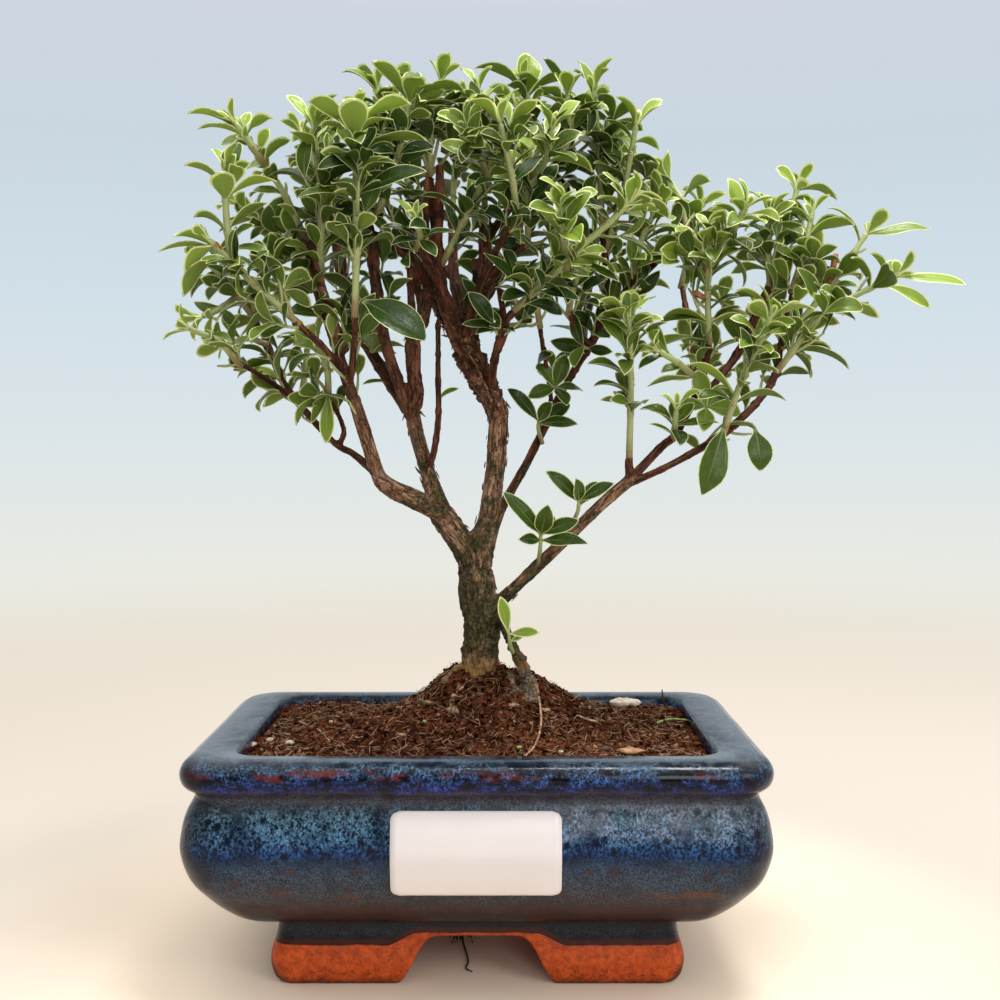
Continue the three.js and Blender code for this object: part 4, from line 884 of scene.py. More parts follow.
class Surface(Nodes):
    """A material's nodes; `place` is in millimetres, and `look` holds a point's four values."""

    def __init__(self, name):
        self.material = bpy.data.materials.new(name)
        self.material.use_nodes = True
        super().__init__(self.material.node_tree)
        coordinates = self.node("ShaderNodeTexCoord").outputs["Object"]
        self.place = self.vector("SCALE", coordinates, scale=1 / MM)
        look = self.node("ShaderNodeAttribute", attribute_name="look")
        parts = self.node("ShaderNodeSeparateColor", {"Color": look.outputs["Color"]})
        self.look = [*parts.outputs, look.outputs["Alpha"]]

    def noise(self, size, detail=3, roughness=0.55, vector=None, distortion=0.0, output=0):
        """Noise from 0 to 1 with features of about `size` millimetres."""
        inputs = {
            "Vector": self.place if vector is None else vector,
            "Scale": 1 / size, "Detail": detail, "Roughness": roughness, "Distortion": distortion,
        }
        return self.node("ShaderNodeTexNoise", inputs).outputs[output]

    def cells(self, size, vector):
        """Distance to the nearest of scattered places about `size` millimetres apart."""
        inputs = {"Vector": vector, "Scale": 1 / size}
        return self.node("ShaderNodeTexVoronoi", inputs).outputs["Distance"]

    def stretched(self, x, y, z):
        return self.vector("MULTIPLY", self.place, (x, y, z))

    def bump(self, height, millimetres):
        inputs = {"Height": height, "Strength": 1.0, "Distance": millimetres * MM}
        return self.node("ShaderNodeBump", inputs).outputs[0]

    def finish(self, colour, roughness, normal, through=0.0, **settings):
        """The finished material; `through` is the share of the light that a thin leaf lets pass."""
        inputs = {"Base Color": colour, "Roughness": roughness, "Normal": normal}
        inputs.update({key.replace("_", " "): value for key, value in settings.items()})
        shader = self.node("ShaderNodeBsdfPrincipled", inputs).outputs[0]
        if through:
            inside = self.node("ShaderNodeBsdfTranslucent", {"Color": colour}).outputs[0]
            shader = self.node("ShaderNodeMixShader", {0: through, 1: shader, 2: inside}).outputs[0]
        self.output("ShaderNodeOutputMaterial", shader)
        return self.material


# Colours of the glaze by height in mm: the curdled light glaze, and the dark ground under it.
LIGHT_GLAZE = [
    (13, (0.010, 0.009, 0.013)), (16.5, (0.026, 0.034, 0.050)), (20, (0.008, 0.008, 0.011)),
    (26, (0.014, 0.009, 0.010)), (28.5, (0.050, 0.026, 0.022)), (32, (0.052, 0.055, 0.068)),
    (40, (0.048, 0.080, 0.125)), (45, (0.026, 0.066, 0.135)), (47.5, (0.020, 0.088, 0.300)),
    (51, (0.085, 0.215, 0.390)), (58, (0.135, 0.285, 0.395)), (62, (0.075, 0.085, 0.115)),
    (64.5, (0.060, 0.052, 0.072)), (66.5, (0.026, 0.062, 0.420)), (69, (0.052, 0.140, 0.400)),
    (72, (0.070, 0.180, 0.320)), (73.4, (0.045, 0.075, 0.115)), (POT_HEIGHT, (0.075, 0.112, 0.150)),
]
DARK_GLAZE = [
    (13, (0.005, 0.003, 0.003)), (20, (0.005, 0.004, 0.005)), (26, (0.010, 0.004, 0.004)),
    (28.5, (0.030, 0.009, 0.006)), (31, (0.018, 0.012, 0.012)), (38, (0.010, 0.011, 0.015)),
    (44, (0.003, 0.006, 0.014)), (47, (0.001, 0.004, 0.016)), (51, (0.002, 0.007, 0.022)),
    (58, (0.003, 0.008, 0.016)), (62, (0.024, 0.017, 0.021)), (64.5, (0.018, 0.013, 0.018)),
    (66.5, (0.001, 0.002, 0.010)), (70, (0.003, 0.002, 0.004)), (72, (0.002, 0.004, 0.008)),
    (73.4, (0.008, 0.011, 0.018)), (POT_HEIGHT, (0.022, 0.031, 0.044)),
]


def glaze_ramp(s, level, stops):
    share = s.math("DIVIDE", level, POT_HEIGHT)
    return s.ramp(share, [(height / POT_HEIGHT, colour) for height, colour in stops])


def glaze_pattern(s, level):
    """Where the light glaze lies: a network of runs on the belly, clusters on the rim, grain elsewhere."""
    warp = s.vector("SCALE", s.noise(1 / 0.9, 2, 0.5, output="Color"), scale=1.6)
    runs = s.vector("ADD", s.stretched(1, 1, 0.8), warp)
    lace = s.band(s.noise(0.8, 5, 0.78, runs), 0.42, 0.61)
    pinholes = s.band(s.cells(1.5, runs), 0.18, 0.42)
    pits = s.band(s.cells(4.4, runs), 0.16, 0.34)
    cloud = s.band(s.noise(7, 3, 0.6, s.stretched(1, 1, 0.5)), 0.30, 0.62, 0.25, 1.0)
    network = s.times(s.times(lace, cloud), s.times(pinholes, pits))
    patches = s.band(s.noise(4, 4, 0.7, s.stretched(0.6, 0.6, 1)), 0.40, 0.62)
    clusters = s.times(s.band(s.noise(0.8, 5, 0.75, runs), 0.42, 0.64), patches)
    grain = s.times(s.band(s.noise(0.55, 4, 0.72), 0.38, 0.60), s.band(s.noise(6, 3), 0.30, 0.60, 0.45, 1.0))
    on_belly = s.zone(level, 43, 47, 59, 63)
    on_rim = s.zone(level, 64, 66, 73, 74.5)
    return s.between(on_rim, s.between(on_belly, grain, network), clusters)


def stained_glaze_and_painted_sheen(s, colour, pattern, level, sideways):
    """The glaze with its red, rusty and plum streaks, a pale reflection painted on the right of the belly,
    and dark at the ends.
    """
    red = s.band(s.noise(9, 4, 0.65, s.stretched(0.6, 0.6, 1.6)), 0.46, 0.60)
    red = s.times(s.zone(level, 68.6, 70, 71.2, 72.4), red)
    colour = s.mix(s.times(red, s.band(sideways, 40, -20, 0.25, 0.85)), colour, (0.11, 0.018, 0.009))
    rust = s.band(s.noise(7, 4, vector=s.stretched(0.45, 0.45, 2)), 0.56, 0.68)
    rust = s.times(s.zone(level, 32.5, 33.8, 34.8, 36.5), rust)
    colour = s.mix(s.times(rust, 0.75), colour, (0.11, 0.032, 0.006))
    plum = s.times(s.zone(level, 30, 33, 42, 46), s.band(s.noise(4.5, 4, 0.6), 0.53, 0.62))
    colour = s.mix(s.times(plum, 0.6), colour, (0.042, 0.020, 0.022))
    # Painted reflection: a pale purple-white sheen laid into the colour on the upper right of the belly.
    painted_sheen = s.times(s.band(sideways, 0, 32), s.zone(level, 49, 54, 59, 62))
    painted_sheen = s.times(painted_sheen, s.band(s.noise(5, 4, 0.7, s.stretched(0.5, 0.5, 1.3)), 0.36, 0.66))
    painted_sheen = s.times(painted_sheen, s.plus(0.14, s.times(pattern, 0.48)))
    colour = s.mix(painted_sheen, colour, (0.36, 0.37, 0.48))
    ends = s.times(s.band(s.math("ABSOLUTE", sideways), 70, 88), s.band(level, 24, 40))
    ends = s.times(ends, s.band(s.noise(5, 4, 0.6), 0.30, 0.60, 0.4, 0.9))
    return s.mix(s.times(ends, s.band(level, 73.5, 71)), colour, (0.007, 0.004, 0.006))


def bare_clay(s, height, sideways):
    """Orange clay with specks of dirt, and grime along the ground and at the ends of the foot."""
    cloud = s.noise(2.2, 5, 0.7)
    clay = s.mix(s.band(cloud, 0.3, 0.7), (0.31, 0.040, 0.007), (0.60, 0.095, 0.016))
    ends = s.band(s.math("ABSOLUTE", sideways), FOOT_HALF_WIDTH - 6, FOOT_HALF_WIDTH)
    specks = s.times(s.band(s.noise(0.6, 4, 0.7), 0.52, 0.59), s.band(s.noise(5, 3, 0.65), 0.44, 0.56))
    corners = s.math("MAXIMUM", ends, s.band(height, 7, 2))
    specks = s.times(specks, s.plus(0.45, s.times(corners, 0.55)))
    ragged_height = s.minus(s.plus(height, s.times(cloud, 4.0)), s.times(ends, 5.5))
    grime = s.times(s.band(ragged_height, 5.2, 1.8), 0.8)
    return s.mix(s.math("MAXIMUM", specks, grime), clay, (0.03, 0.014, 0.008))


def glaze_material():
    """Blue running glaze over bare orange clay; look: height over the glaze's lower edge."""
    s = Surface("blue_glaze")
    height = s.axis(s.place, "Z")
    over_line = s.look[0]
    sideways = s.minus(s.axis(s.place, "X"), POT_MIDDLE[0] / MM)
    drift = s.noise(9, 3, vector=s.stretched(1, 1, 0.3))
    level = s.plus(height, s.wobble(drift, 4.0))
    pattern = glaze_pattern(s, level)
    colour = s.mix(pattern, glaze_ramp(s, level, DARK_GLAZE), glaze_ramp(s, level, LIGHT_GLAZE))
    colour = stained_glaze_and_painted_sheen(s, colour, pattern, level, sideways)
    lower_edge = s.zone(over_line, 0.1, 0.6, 1.2, 2.2)
    colour = s.mix(s.times(lower_edge, 0.8), colour, (0.060, 0.012, 0.006))
    bare = s.band(s.plus(over_line, s.wobble(drift, 1.2)), 0.25, -0.25)
    colour = s.mix(bare, colour, bare_clay(s, height, sideways))
    relief = s.plus(s.times(pattern, 0.25), s.times(s.noise(3.0, 2), 0.75))
    roughness = s.between(bare, 0.10, 0.5)
    return s.finish(colour, roughness, s.bump(relief, 0.12), IOR=1.45, Specular_IOR_Level=0.22)


def soil_material(name, dark, light, glint):
    """Peat; look: share of the glint's colour, share of the dark."""
    s = Surface(name)
    colour = s.mix(s.band(s.noise(1.6, 4, 0.65), 0.35, 0.68), dark, light)
    colour = s.mix(s.times(s.band(s.noise(14, 2), 0.45, 0.62), 0.45), colour, dark)
    colour = s.mix(s.times(s.look[1], 0.75), colour, dark)
    colour = s.mix(s.times(s.look[0], 0.9), colour, glint)
    return s.finish(colour, 0.9, s.bump(s.noise(0.7, 3), 0.35), Specular_IOR_Level=0.0)


def old_bark(s, flakes, grain):
    """Pale flaking bark with brown and pink patches."""
    colour = s.mix(s.band(flakes, 0.36, 0.62), (0.13, 0.058, 0.025), (0.47, 0.28, 0.155))
    brown = s.band(s.noise(3.4, 3, 0.6, grain), 0.52, 0.60)
    colour = s.mix(s.times(brown, 0.55), colour, (0.22, 0.080, 0.040))
    pink = s.band(s.noise(5.5, 3, 0.6, s.stretched(1, 1, 0.5)), 0.48, 0.60)
    return s.mix(s.times(pink, 0.55), colour, (0.50, 0.30, 0.20))


def with_ochre(s, colour, green):
    """Bark with an ochre crust at the foot of the trunk, where no moss grows."""
    crust = s.times(s.band(s.axis(s.place, "Z"), 106, 98), s.band(s.noise(2.2, 4, 0.65), 0.36, 0.52))
    bare = s.minus(1.0, s.times(green, 1.6), clamp=True)
    return s.mix(s.times(crust, s.times(bare, 0.85)), colour, (0.36, 0.205, 0.050))


def with_moss(s, colour, green):
    """Bark with moss and, near the soil, grey lichen."""
    moss = s.mix(s.band(s.noise(1.1, 4, 0.7), 0.38, 0.68), (0.014, 0.015, 0.006), (0.110, 0.102, 0.034))
    lichen = s.mix(s.band(s.noise(1.0, 4, 0.7), 0.40, 0.62), (0.026, 0.018, 0.010), (0.19, 0.19, 0.13))
    moss = s.mix(s.band(s.axis(s.place, "Z"), 100, 92), moss, lichen)
    ragged = s.plus(s.wobble(s.noise(12, 2), 2.2), s.wobble(s.noise(3.4, 5, 0.8), 3.4))
    cover = s.band(s.plus(green, ragged), 0.25, 0.75)
    return s.mix(s.times(cover, 0.9), colour, moss)


def bark_material():
    """Flaky bark; look: green on the trunk, age, how deep in a split (darkened there: partly the darker inner
    bark, partly painted shade), cut wood.
    """
    s = Surface("bark")
    green, age, depth, cut = s.look
    grain = s.node("ShaderNodeAttribute", attribute_name="grain").outputs["Vector"]
    flakes = s.noise(1.25, 4, 0.62, grain)
    fibres = s.noise(0.5, 4, 0.65, grain)
    fissure = s.math("ABSOLUTE", s.minus(s.noise(1.3, 4, 0.6, grain, 0.5), 0.5))
    young = s.mix(s.band(flakes, 0.38, 0.62), (0.042, 0.012, 0.006), (0.18, 0.058, 0.026))
    colour = s.mix(age, young, old_bark(s, flakes, grain))
    pale_fibres = s.times(s.band(fibres, 0.52, 0.72), s.times(age, 0.5))
    colour = s.mix(pale_fibres, colour, (0.62, 0.42, 0.26))
    colour = s.mix(s.times(s.band(fibres, 0.46, 0.30), 0.6), colour, (0.055, 0.026, 0.014))
    # Thin fissures and the sunken splits are darkened: partly the bark's darker inside, partly painted shade
    # in the cracks.
    colour = s.mix(s.times(s.band(fissure, 0.045, 0.0), 0.9), colour, (0.022, 0.010, 0.006))
    colour = s.mix(s.times(depth, 0.75), colour, (0.030, 0.015, 0.009))
    colour = with_ochre(s, colour, green)
    colour = with_moss(s, colour, green)
    fresh = s.mix(s.noise(0.8, 2), (0.34, 0.085, 0.022), (0.48, 0.20, 0.07))
    colour = s.mix(cut, colour, fresh)
    relief = s.plus(s.times(s.band(fissure, 0.0, 0.05), 0.6), s.times(fibres, 0.6))
    return s.finish(colour, 0.72, s.bump(relief, 0.3), Specular_IOR_Level=0.2)


def leaf_material(name, old_colour, young_colour, rib_strength, roughness):
    """Leaf blade; look: distance from the edge and from the rib in mm, share of the length, youth."""
    s = Surface(name)
    edge, rib, share, youth = s.look
    mottle = s.noise(5, 3)
    youth = s.plus(youth, s.wobble(mottle, 0.2), clamp=True)
    colour = s.mix(youth, old_colour, young_colour)
    veins = s.math("SINE", s.plus(s.times(share, 42.0), s.times(rib, -1.6)))
    colour = s.mix(s.times(s.band(veins, 0.75, 1.0), 0.06 * rib_strength), colour, (0.30, 0.42, 0.12))
    rib_width = s.plus(0.10, s.times(s.minus(1.0, share, clamp=True), 0.34))
    rib_share = s.math("DIVIDE", rib, rib_width)
    on_rib = s.times(s.band(rib_share, 1.1, 0.5), s.band(share, 0.95, 0.25, 0.15, 1))
    on_rib = s.times(on_rib, s.plus(0.22, s.times(youth, 0.75)))
    colour = s.mix(s.times(on_rib, rib_strength), colour, (0.38, 0.48, 0.16))
    margin_width = s.plus(0.15, s.plus(s.times(youth, 0.20), s.times(mottle, 0.2)))
    margin = s.band(s.math("DIVIDE", edge, margin_width), 1.2, 0.75)
    cream = s.mix(youth, (0.72, 0.76, 0.36), (0.90, 0.93, 0.50))
    colour = s.mix(margin, colour, cream)
    colour = s.mix(s.band(share, 0.10, 0.0), colour, (0.40, 0.46, 0.17))
    normal = s.bump(s.plus(s.noise(1.6, 2), s.times(s.band(rib_share, 0, 2), 0.5)), 0.16)
    return s.finish(colour, roughness, normal, through=0.30, Specular_IOR_Level=0.35)


def stem_material():
    """Green stem; look: nearness of a node, distance from the wood in mm, browned, youth."""
    s = Surface("green_stem")
    node, reach, browned, youth = s.look
    streaks = s.noise(1.5, 3, vector=s.stretched(1, 1, 0.35))
    colour = s.mix(streaks, (0.30, 0.33, 0.13), (0.46, 0.50, 0.22))
    colour = s.mix(s.times(youth, 0.6), colour, (0.36, 0.48, 0.16))
    woody = s.band(s.plus(reach, s.times(streaks, 6.0)), 9, 3)
    colour = s.mix(s.times(woody, 0.65), colour, (0.20, 0.085, 0.04))
    scar = s.times(node, s.band(s.noise(1.0, 2), 0.45, 0.65))
    colour = s.mix(s.times(scar, 0.8), colour, (0.26, 0.11, 0.035))
    brown = s.mix(s.noise(0.8, 2), (0.22, 0.06, 0.02), (0.42, 0.17, 0.06))
    colour = s.mix(browned, colour, brown)
    return s.finish(colour, 0.5, s.bump(streaks, 0.12), Specular_IOR_Level=0.4)


def plain_material(name, dark, light, size, roughness, bump=0.1):
    """Two shades in grains of about a size, with a low relief."""
    s = Surface(name)
    grain = s.noise(size, 4, 0.6)
    return s.finish(s.mix(s.band(grain, 0.35, 0.65), dark, light), roughness, s.bump(grain, bump))


# ---- pot ----------------------------------------------------------------------------------


def corner_at(inset):
    return np.maximum(POT_CORNER - CORNER_SHRINKS * np.asarray(inset), SMALLEST_CORNER)


def side_share(height):
    """How much of an inset the long sides take at a height."""
    return UNDERSIDE_TAPER + (1 - UNDERSIDE_TAPER) * np.clip((height - BELLY_WIDEST + 6) / 6, 0, 1)


def round_hole(height):
    """Ring of the drain hole, its points facing those of a rounded ring."""
    ring = rounded_ring(POT_HALF_WIDTH, POT_HALF_DEPTH, POT_CORNER, height)
    angles = np.arctan2(ring[:, 1] / POT_HALF_DEPTH, ring[:, 0] / POT_HALF_WIDTH)
    return np.column_stack([DRAIN_RADIUS * np.cos(angles), DRAIN_RADIUS * np.sin(angles), ring[:, 2]])


def swayed(points):
    """Points of the pot moved a little in and out, as a hand-finished wall sways."""
    sway = np.array([noise.noise(point) for point in points / 24.0])[:, None]
    flat = points * [1, 1, 0]
    return points + 0.25 * sway * flat / np.maximum(np.linalg.norm(flat, axis=1), 1)[:, None]


def wall_shell():
    """The glazed bowl, from the drain hole out over belly, groove and rim and back in over the floor."""
    outside = smooth_line(BELLY_PROFILE, 4)
    rim = smooth_line([*BELLY_PROFILE[-2:], *RIM_PROFILE], 5)[6:]
    rings = [round_hole(FLOOR_BOTTOM)]
    lowest = BELLY_PROFILE[0][0]
    underside = rounded_ring(
        POT_HALF_WIDTH - lowest, POT_HALF_DEPTH - lowest * UNDERSIDE_TAPER, UNDERSIDE_CORNER, FLOOR_BOTTOM
    )
    for share in (0.35, 0.7):
        rings.append(rings[0] * (1 - share) + underside * share)
    for inset, height in np.vstack([outside[:-1], rim]):
        half_width, half_depth = POT_HALF_WIDTH - inset, POT_HALF_DEPTH - inset * side_share(height)
        rings.append(rounded_ring(half_width, half_depth, corner_at(inset), height))
    for inset, height in smooth_line(CAVITY_PROFILE, 4):
        half_width, half_depth = POT_HALF_WIDTH - LIP_WIDTH - inset, POT_HALF_DEPTH - LIP_DEPTH - inset
        corner = CAVITY_CORNER - CORNER_SHRINKS * max(inset, 0)
        rings.append(rounded_ring(half_width, half_depth, corner, height))
    hole = round_hole(FLOOR_TOP)
    rings.append(rings[-1] * 0.5 + hole * 0.5)
    rings.append(hole)
    points, faces = loft(rings, closed=True)
    return swayed(points), faces


def arch_outline(half_bottom, half_top, top):
    """Outline of an arch as x, z: from below the foot up one side, over, and down the other."""
    swing = 5
    share = np.linspace(0, 1, 9)[:, None]
    left = 1 - share
    a, b, c, d = np.array([
        (half_bottom, -1), (half_top + swing, 4), (half_top + swing - 1, top), (half_top - 2, top),
    ])
    right = left**3 * a + 3 * left**2 * share * b + 3 * left * share**2 * c + share**3 * d
    return np.vstack([right, right[::-1] * [-1, 1]])


def prism(outline, half_length, along_x):
    """Rings of a solid with an x-z outline, running both ways across the foot."""
    x, z = outline.T
    rings = [np.column_stack([x, np.full(len(x), y), z]) for y in (half_length, -half_length)]
    if along_x:
        rings = [ring[:, [1, 0, 2]] * [-1, 1, 1] for ring in rings]
    return rings


def capped(rings):
    """Closed mesh through rings of equally many points, with a polygon at either end."""
    points, quads = loft(rings)
    count = len(rings[0])
    first = list(range(count))[::-1]
    last = list(range(len(points) - count, len(points)))
    mesh = bpy.data.meshes.new("block")
    mesh.from_pydata((points * MM + POT_MIDDLE).tolist(), [], [*quads.tolist(), first, last])
    return mesh


def foot_mesh():
    """Hollow clay ring under the bowl, with an arch through each side and softly rounded edges."""
    block = capped([
        rounded_ring(FOOT_HALF_WIDTH - inset, FOOT_HALF_DEPTH - inset, FOOT_CORNER, height)
        for inset, height in smooth_line(FOOT_PROFILE, 4)
    ])
    hollow = (FOOT_HALF_WIDTH - FOOT_WALL, FOOT_HALF_DEPTH - FOOT_WALL, FOOT_CORNER - 2)
    cutters = [
        capped([rounded_ring(*hollow, height) for height in (-1, FLOOR_BOTTOM)]),
        capped(prism(arch_outline(*LONG_SIDE_ARCH), 2 * POT_HALF_DEPTH, along_x=False)),
        capped(prism(arch_outline(*SHORT_SIDE_ARCH), 2 * POT_HALF_WIDTH, along_x=True)),
    ]
    holders = [bpy.data.objects.new("cutter", cutter) for cutter in cutters]
    for holder in holders:
        bpy.context.scene.collection.objects.link(holder)
    cut = {"operation": "DIFFERENCE", "solver": "EXACT"}
    foot = evaluated(
        block,
        *[("BOOLEAN", {**cut, "object": holder}) for holder in holders],
        ("REMESH", {"mode": "VOXEL", "voxel_size": 0.85 * MM}),
        ("SMOOTH", {"factor": 0.5, "iterations": 6}),
    )
    for holder in holders:
        bpy.data.objects.remove(holder)
    return foot


def over_glaze_line(points):
    """Height over the lower edge of the glaze, negative inside the foot and its arches."""
    x, y, z = points.T
    crown = np.clip((LONG_SIDE_ARCH[0] + 3 - np.abs(x)) / 10, 0, 1)
    line = GLAZE_LINE + (LONG_SIDE_ARCH[2] + 1.2 - GLAZE_LINE) * crown * crown * (3 - 2 * crown)
    line = np.where(np.abs(y) > 0.9 * (FOOT_HALF_DEPTH - 3), line, GLAZE_LINE + 1)
    deep = np.maximum(np.abs(x) - (FOOT_HALF_WIDTH - 4.5), np.abs(y) - (FOOT_HALF_DEPTH - 4.5))
    return np.minimum(z - line, deep * 2)


ALL_GLAZE = 20  # values of the glaze's look that are far over and far under its lower edge
ALL_CLAY = -5


def shell_looks(points):
    """Glaze on the outside, the rim and the top of the inside; bare clay below the soil and the floor."""
    x, y, z = points.T
    looks = np.zeros((len(points), 4))
    looks[:, 0] = np.where(z > FLOOR_BOTTOM + 0.3, ALL_GLAZE, ALL_CLAY)
    cavity = (np.abs(x) < POT_HALF_WIDTH - LIP_WIDTH + 1) & (np.abs(y) < POT_HALF_DEPTH - LIP_DEPTH + 1)
    looks[cavity & (z > FLOOR_TOP - 1) & (z < INSIDE_GLAZE_LINE), 0] = ALL_CLAY
    return looks


def make_pot():
    shape = Shape()
    points, faces = wall_shell()
    shape.add(points, faces, look=shell_looks(points))
    foot = foot_mesh()
    foot_points, _ = mesh_points(foot)
    corners = np.empty(4 * len(foot.polygons), int)
    foot.loops.foreach_get("vertex_index", corners)
    foot_looks = np.zeros((len(foot_points), 4))
    foot_looks[:, 0] = over_glaze_line(foot_points)
    shape.add(foot_points, corners.reshape(-1, 4), look=foot_looks)
    shape.piece("glazed_pot", [glaze_material()], "pot_glaze", ["pot"])


def glaze_inset(height):
    """How far the bowl stands in from its widest outline at a height."""
    profile = smooth_line(BELLY_PROFILE, 4)
    return np.interp(height, profile[:, 1], profile[:, 0])


def make_label():
    """Blank sheet with rounded corners, bent to the belly."""
    columns = 24
    steps = np.linspace(-1, 1, columns)
    lifted_ends = 0.12 * np.clip((np.abs(steps) - 0.93) / 0.07, 0, 1)
    heights = np.linspace(0, LABEL_HEIGHT, 40)
    into_corner = np.maximum(LABEL_CORNER - np.minimum(heights, LABEL_HEIGHT - heights), 0)
    narrowed = LABEL_CORNER - np.sqrt(LABEL_CORNER**2 - into_corner**2)
    rings = []
    for height, narrower in zip(LABEL_BOTTOM + heights, narrowed):
        wall = -(POT_HALF_DEPTH - glaze_inset(height) * side_share(height)) - LABEL_CLEARANCE * 0.5
        x = steps * (LABEL_WIDTH / 2 - narrower)
        front = np.column_stack([x, wall - LABEL_THICKNESS - lifted_ends, np.full(columns, height)])
        rings.append(np.vstack([front, front[::-1] + [0, LABEL_THICKNESS, 0]]))
    points, quads = loft(rings)
    around = 2 * columns
    bottom = np.array([(i, around - 1 - i, around - 2 - i, i + 1) for i in range(columns - 1)])
    top = bottom[:, ::-1] + len(points) - around
    shape = Shape()
    shape.add(points, np.vstack([quads, bottom, top]))
    shape.piece("blank_label", [label_material()], "label", ["shop_label"])


def label_material():
    s = Surface("label_paper")
    cloud = s.noise(16, 2)
    colour = s.mix(cloud, (0.67, 0.62, 0.62), (0.735, 0.685, 0.69))
    return s.finish(colour, 0.32, s.bump(s.noise(6, 2), 0.05), Specular_IOR_Level=0.5)


# ---- soil ---------------------------------------------------------------------------------

SOIL_CLEARANCE = 0.6
SOIL_HALF_WIDTH = POT_HALF_WIDTH - LIP_WIDTH - SOIL_CLEARANCE
SOIL_HALF_DEPTH = POT_HALF_DEPTH - LIP_DEPTH - SOIL_CLEARANCE
SOIL_CORNER = 8
# Low swellings of the soil: x, y, radius and rise.
CLODS = [
    (-9, 1, 6, 4.2), (-17, 0, 7, 1.3), (17, 1, 7, 3.0), (31, 2, 10, 2.2), (5, 6, 6, 2.5), (40, -14, 8, 1.5),
    (-48, -6, 9, 1.5),
]
TRUNK_X = -1
TRUNK_RADIUS = 6
CRUMBS = 4300
FIBRES = 3000
DRAIN_ROOTS = 36


def soil_height(x, y):
    """Height of the soil's even surface: a mound round the trunk, with the clods."""
    edge = np.clip(np.maximum(np.abs(x) / SOIL_HALF_WIDTH, np.abs(y) / SOIL_HALF_DEPTH), 0, 1)
    distance = np.hypot(x - MOUND_SHIFT, 1.35 * y)
    height = SOIL_EDGE_HEIGHT + MOUND_HEIGHT / (1 + (distance / MOUND_SPREAD) ** 2) * (1 - edge**4)
    for clod_x, clod_y, radius, rise in CLODS:
        height = height + rise * np.exp(-((x - clod_x) ** 2 + (y - clod_y) ** 2) / radius**2)
    return height


def soil_surface(x, y):
    """Height of the rough surface."""
    flat = np.column_stack([x, y, np.zeros(len(x))])
    return soil_height(x, y) + 1.0 * fractal(flat, 11, 2, 3.7) + 0.75 * fractal(flat, 3.6, 3, 9.1) - 0.5


def make_soil():
    """The bowl's filling, finely divided on top for the rough surface."""
    outline = rounded_ring(
        SOIL_HALF_WIDTH, SOIL_HALF_DEPTH, SOIL_CORNER, 0, corner_steps=10, long_steps=84, short_steps=50
    )
    rings = []
    for inset, height in smooth_line(CAVITY_PROFILE[1:], 2)[::-1]:
        half_width, half_depth = SOIL_HALF_WIDTH - inset, SOIL_HALF_DEPTH - inset
        squeeze = [half_width / SOIL_HALF_WIDTH, half_depth / SOIL_HALF_DEPTH, 0]
        if height < SOIL_EDGE_HEIGHT - 3:
            rings.append(outline * squeeze + [0, 0, max(height, FLOOR_TOP + 0.4)])
    for share in np.linspace(1, 0.01, 72):
        x, y = outline[:, 0] * share, outline[:, 1] * share
        rings.append(np.column_stack([x, y, soil_surface(x, y)]))
    points, quads = loft(rings)
    count = len(outline)
    top = len(points) - count
    fan = range(1, count - 1)
    fans = [(0, i + 1, i) for i in fan] + [(top, top + i, top + i + 1) for i in fan]
    looks = np.zeros((len(points), 4))
    looks[:, 0] = np.clip(fractal(points, 1.4, 2, 5.5) * 1.5 - 0.6, 0, 1) * 0.5
    shape = Shape()
    shape.add(points, quads, fans, look=looks)
    shape.piece("peat", [PEAT], "potting_soil", ["soil"])


def scatter(rng, count, margin=1.5):
    """Random places on the soil, clear of the trunk, with the surface's normal."""
    x = rng.uniform(-SOIL_HALF_WIDTH + margin, SOIL_HALF_WIDTH - margin, count)
    y = rng.uniform(-SOIL_HALF_DEPTH + margin, SOIL_HALF_DEPTH - margin, count)
    clear = np.hypot(x - TRUNK_X, y) > TRUNK_RADIUS
    x, y = x[clear], y[clear]
    slope_x = (soil_height(x + 1, y) - soil_height(x - 1, y)) / 2
    slope_y = (soil_height(x, y + 1) - soil_height(x, y - 1)) / 2
    normals = np.column_stack([-slope_x, -slope_y, np.ones(len(x))])
    normals /= np.linalg.norm(normals, axis=1)[:, None]
    return np.column_stack([x, y, soil_surface(x, y)]), normals


GOLDEN = (1 + 5**0.5) / 2
BALL_POINTS = np.array([
    (-1, GOLDEN, 0), (1, GOLDEN, 0), (-1, -GOLDEN, 0), (1, -GOLDEN, 0),
    (0, -1, GOLDEN), (0, 1, GOLDEN), (0, -1, -GOLDEN), (0, 1, -GOLDEN),
    (GOLDEN, 0, -1), (GOLDEN, 0, 1), (-GOLDEN, 0, -1), (-GOLDEN, 0, 1),
]) / math.hypot(1, GOLDEN)
BALL_FACES = np.array([
    (0, 11, 5), (0, 5, 1), (0, 1, 7), (0, 7, 10), (0, 10, 11),
    (1, 5, 9), (5, 11, 4), (11, 10, 2), (10, 7, 6), (7, 1, 8),
    (3, 9, 4), (3, 4, 2), (3, 2, 6), (3, 6, 8), (3, 8, 9),
    (4, 9, 5), (2, 4, 11), (6, 2, 10), (8, 6, 7), (9, 8, 1),
])


def random_turn(rng):
    """Random rotation matrix."""
    turn, _ = np.linalg.qr(rng.normal(size=(3, 3)))
    return turn * np.sign(np.linalg.det(turn))


def make_crumbs():
    """Crumbs of peat, with some paler and redder ones, half sunk in the surface."""
    rng = np.random.default_rng(21)
    shape = Shape()
    places, normals = scatter(rng, CRUMBS)
    for place, normal in zip(places, normals):
        size = rng.uniform(0.2, 0.68) * (1.8 if rng.random() < 0.05 else 1)
        crumb = BALL_POINTS * rng.uniform(0.6, 1.25, (12, 1)) * rng.uniform(0.6, 1.3, 3)
        crumb = crumb @ random_turn(rng) * size + place + normal * size * rng.uniform(-0.2, 0.5)
        glint = rng.random() ** 6
        shape.add(crumb, triangles=BALL_FACES, look=(glint, rng.random(), 0, 0))
    shape.piece("peat_crumbs", [PEAT], "potting_soil")


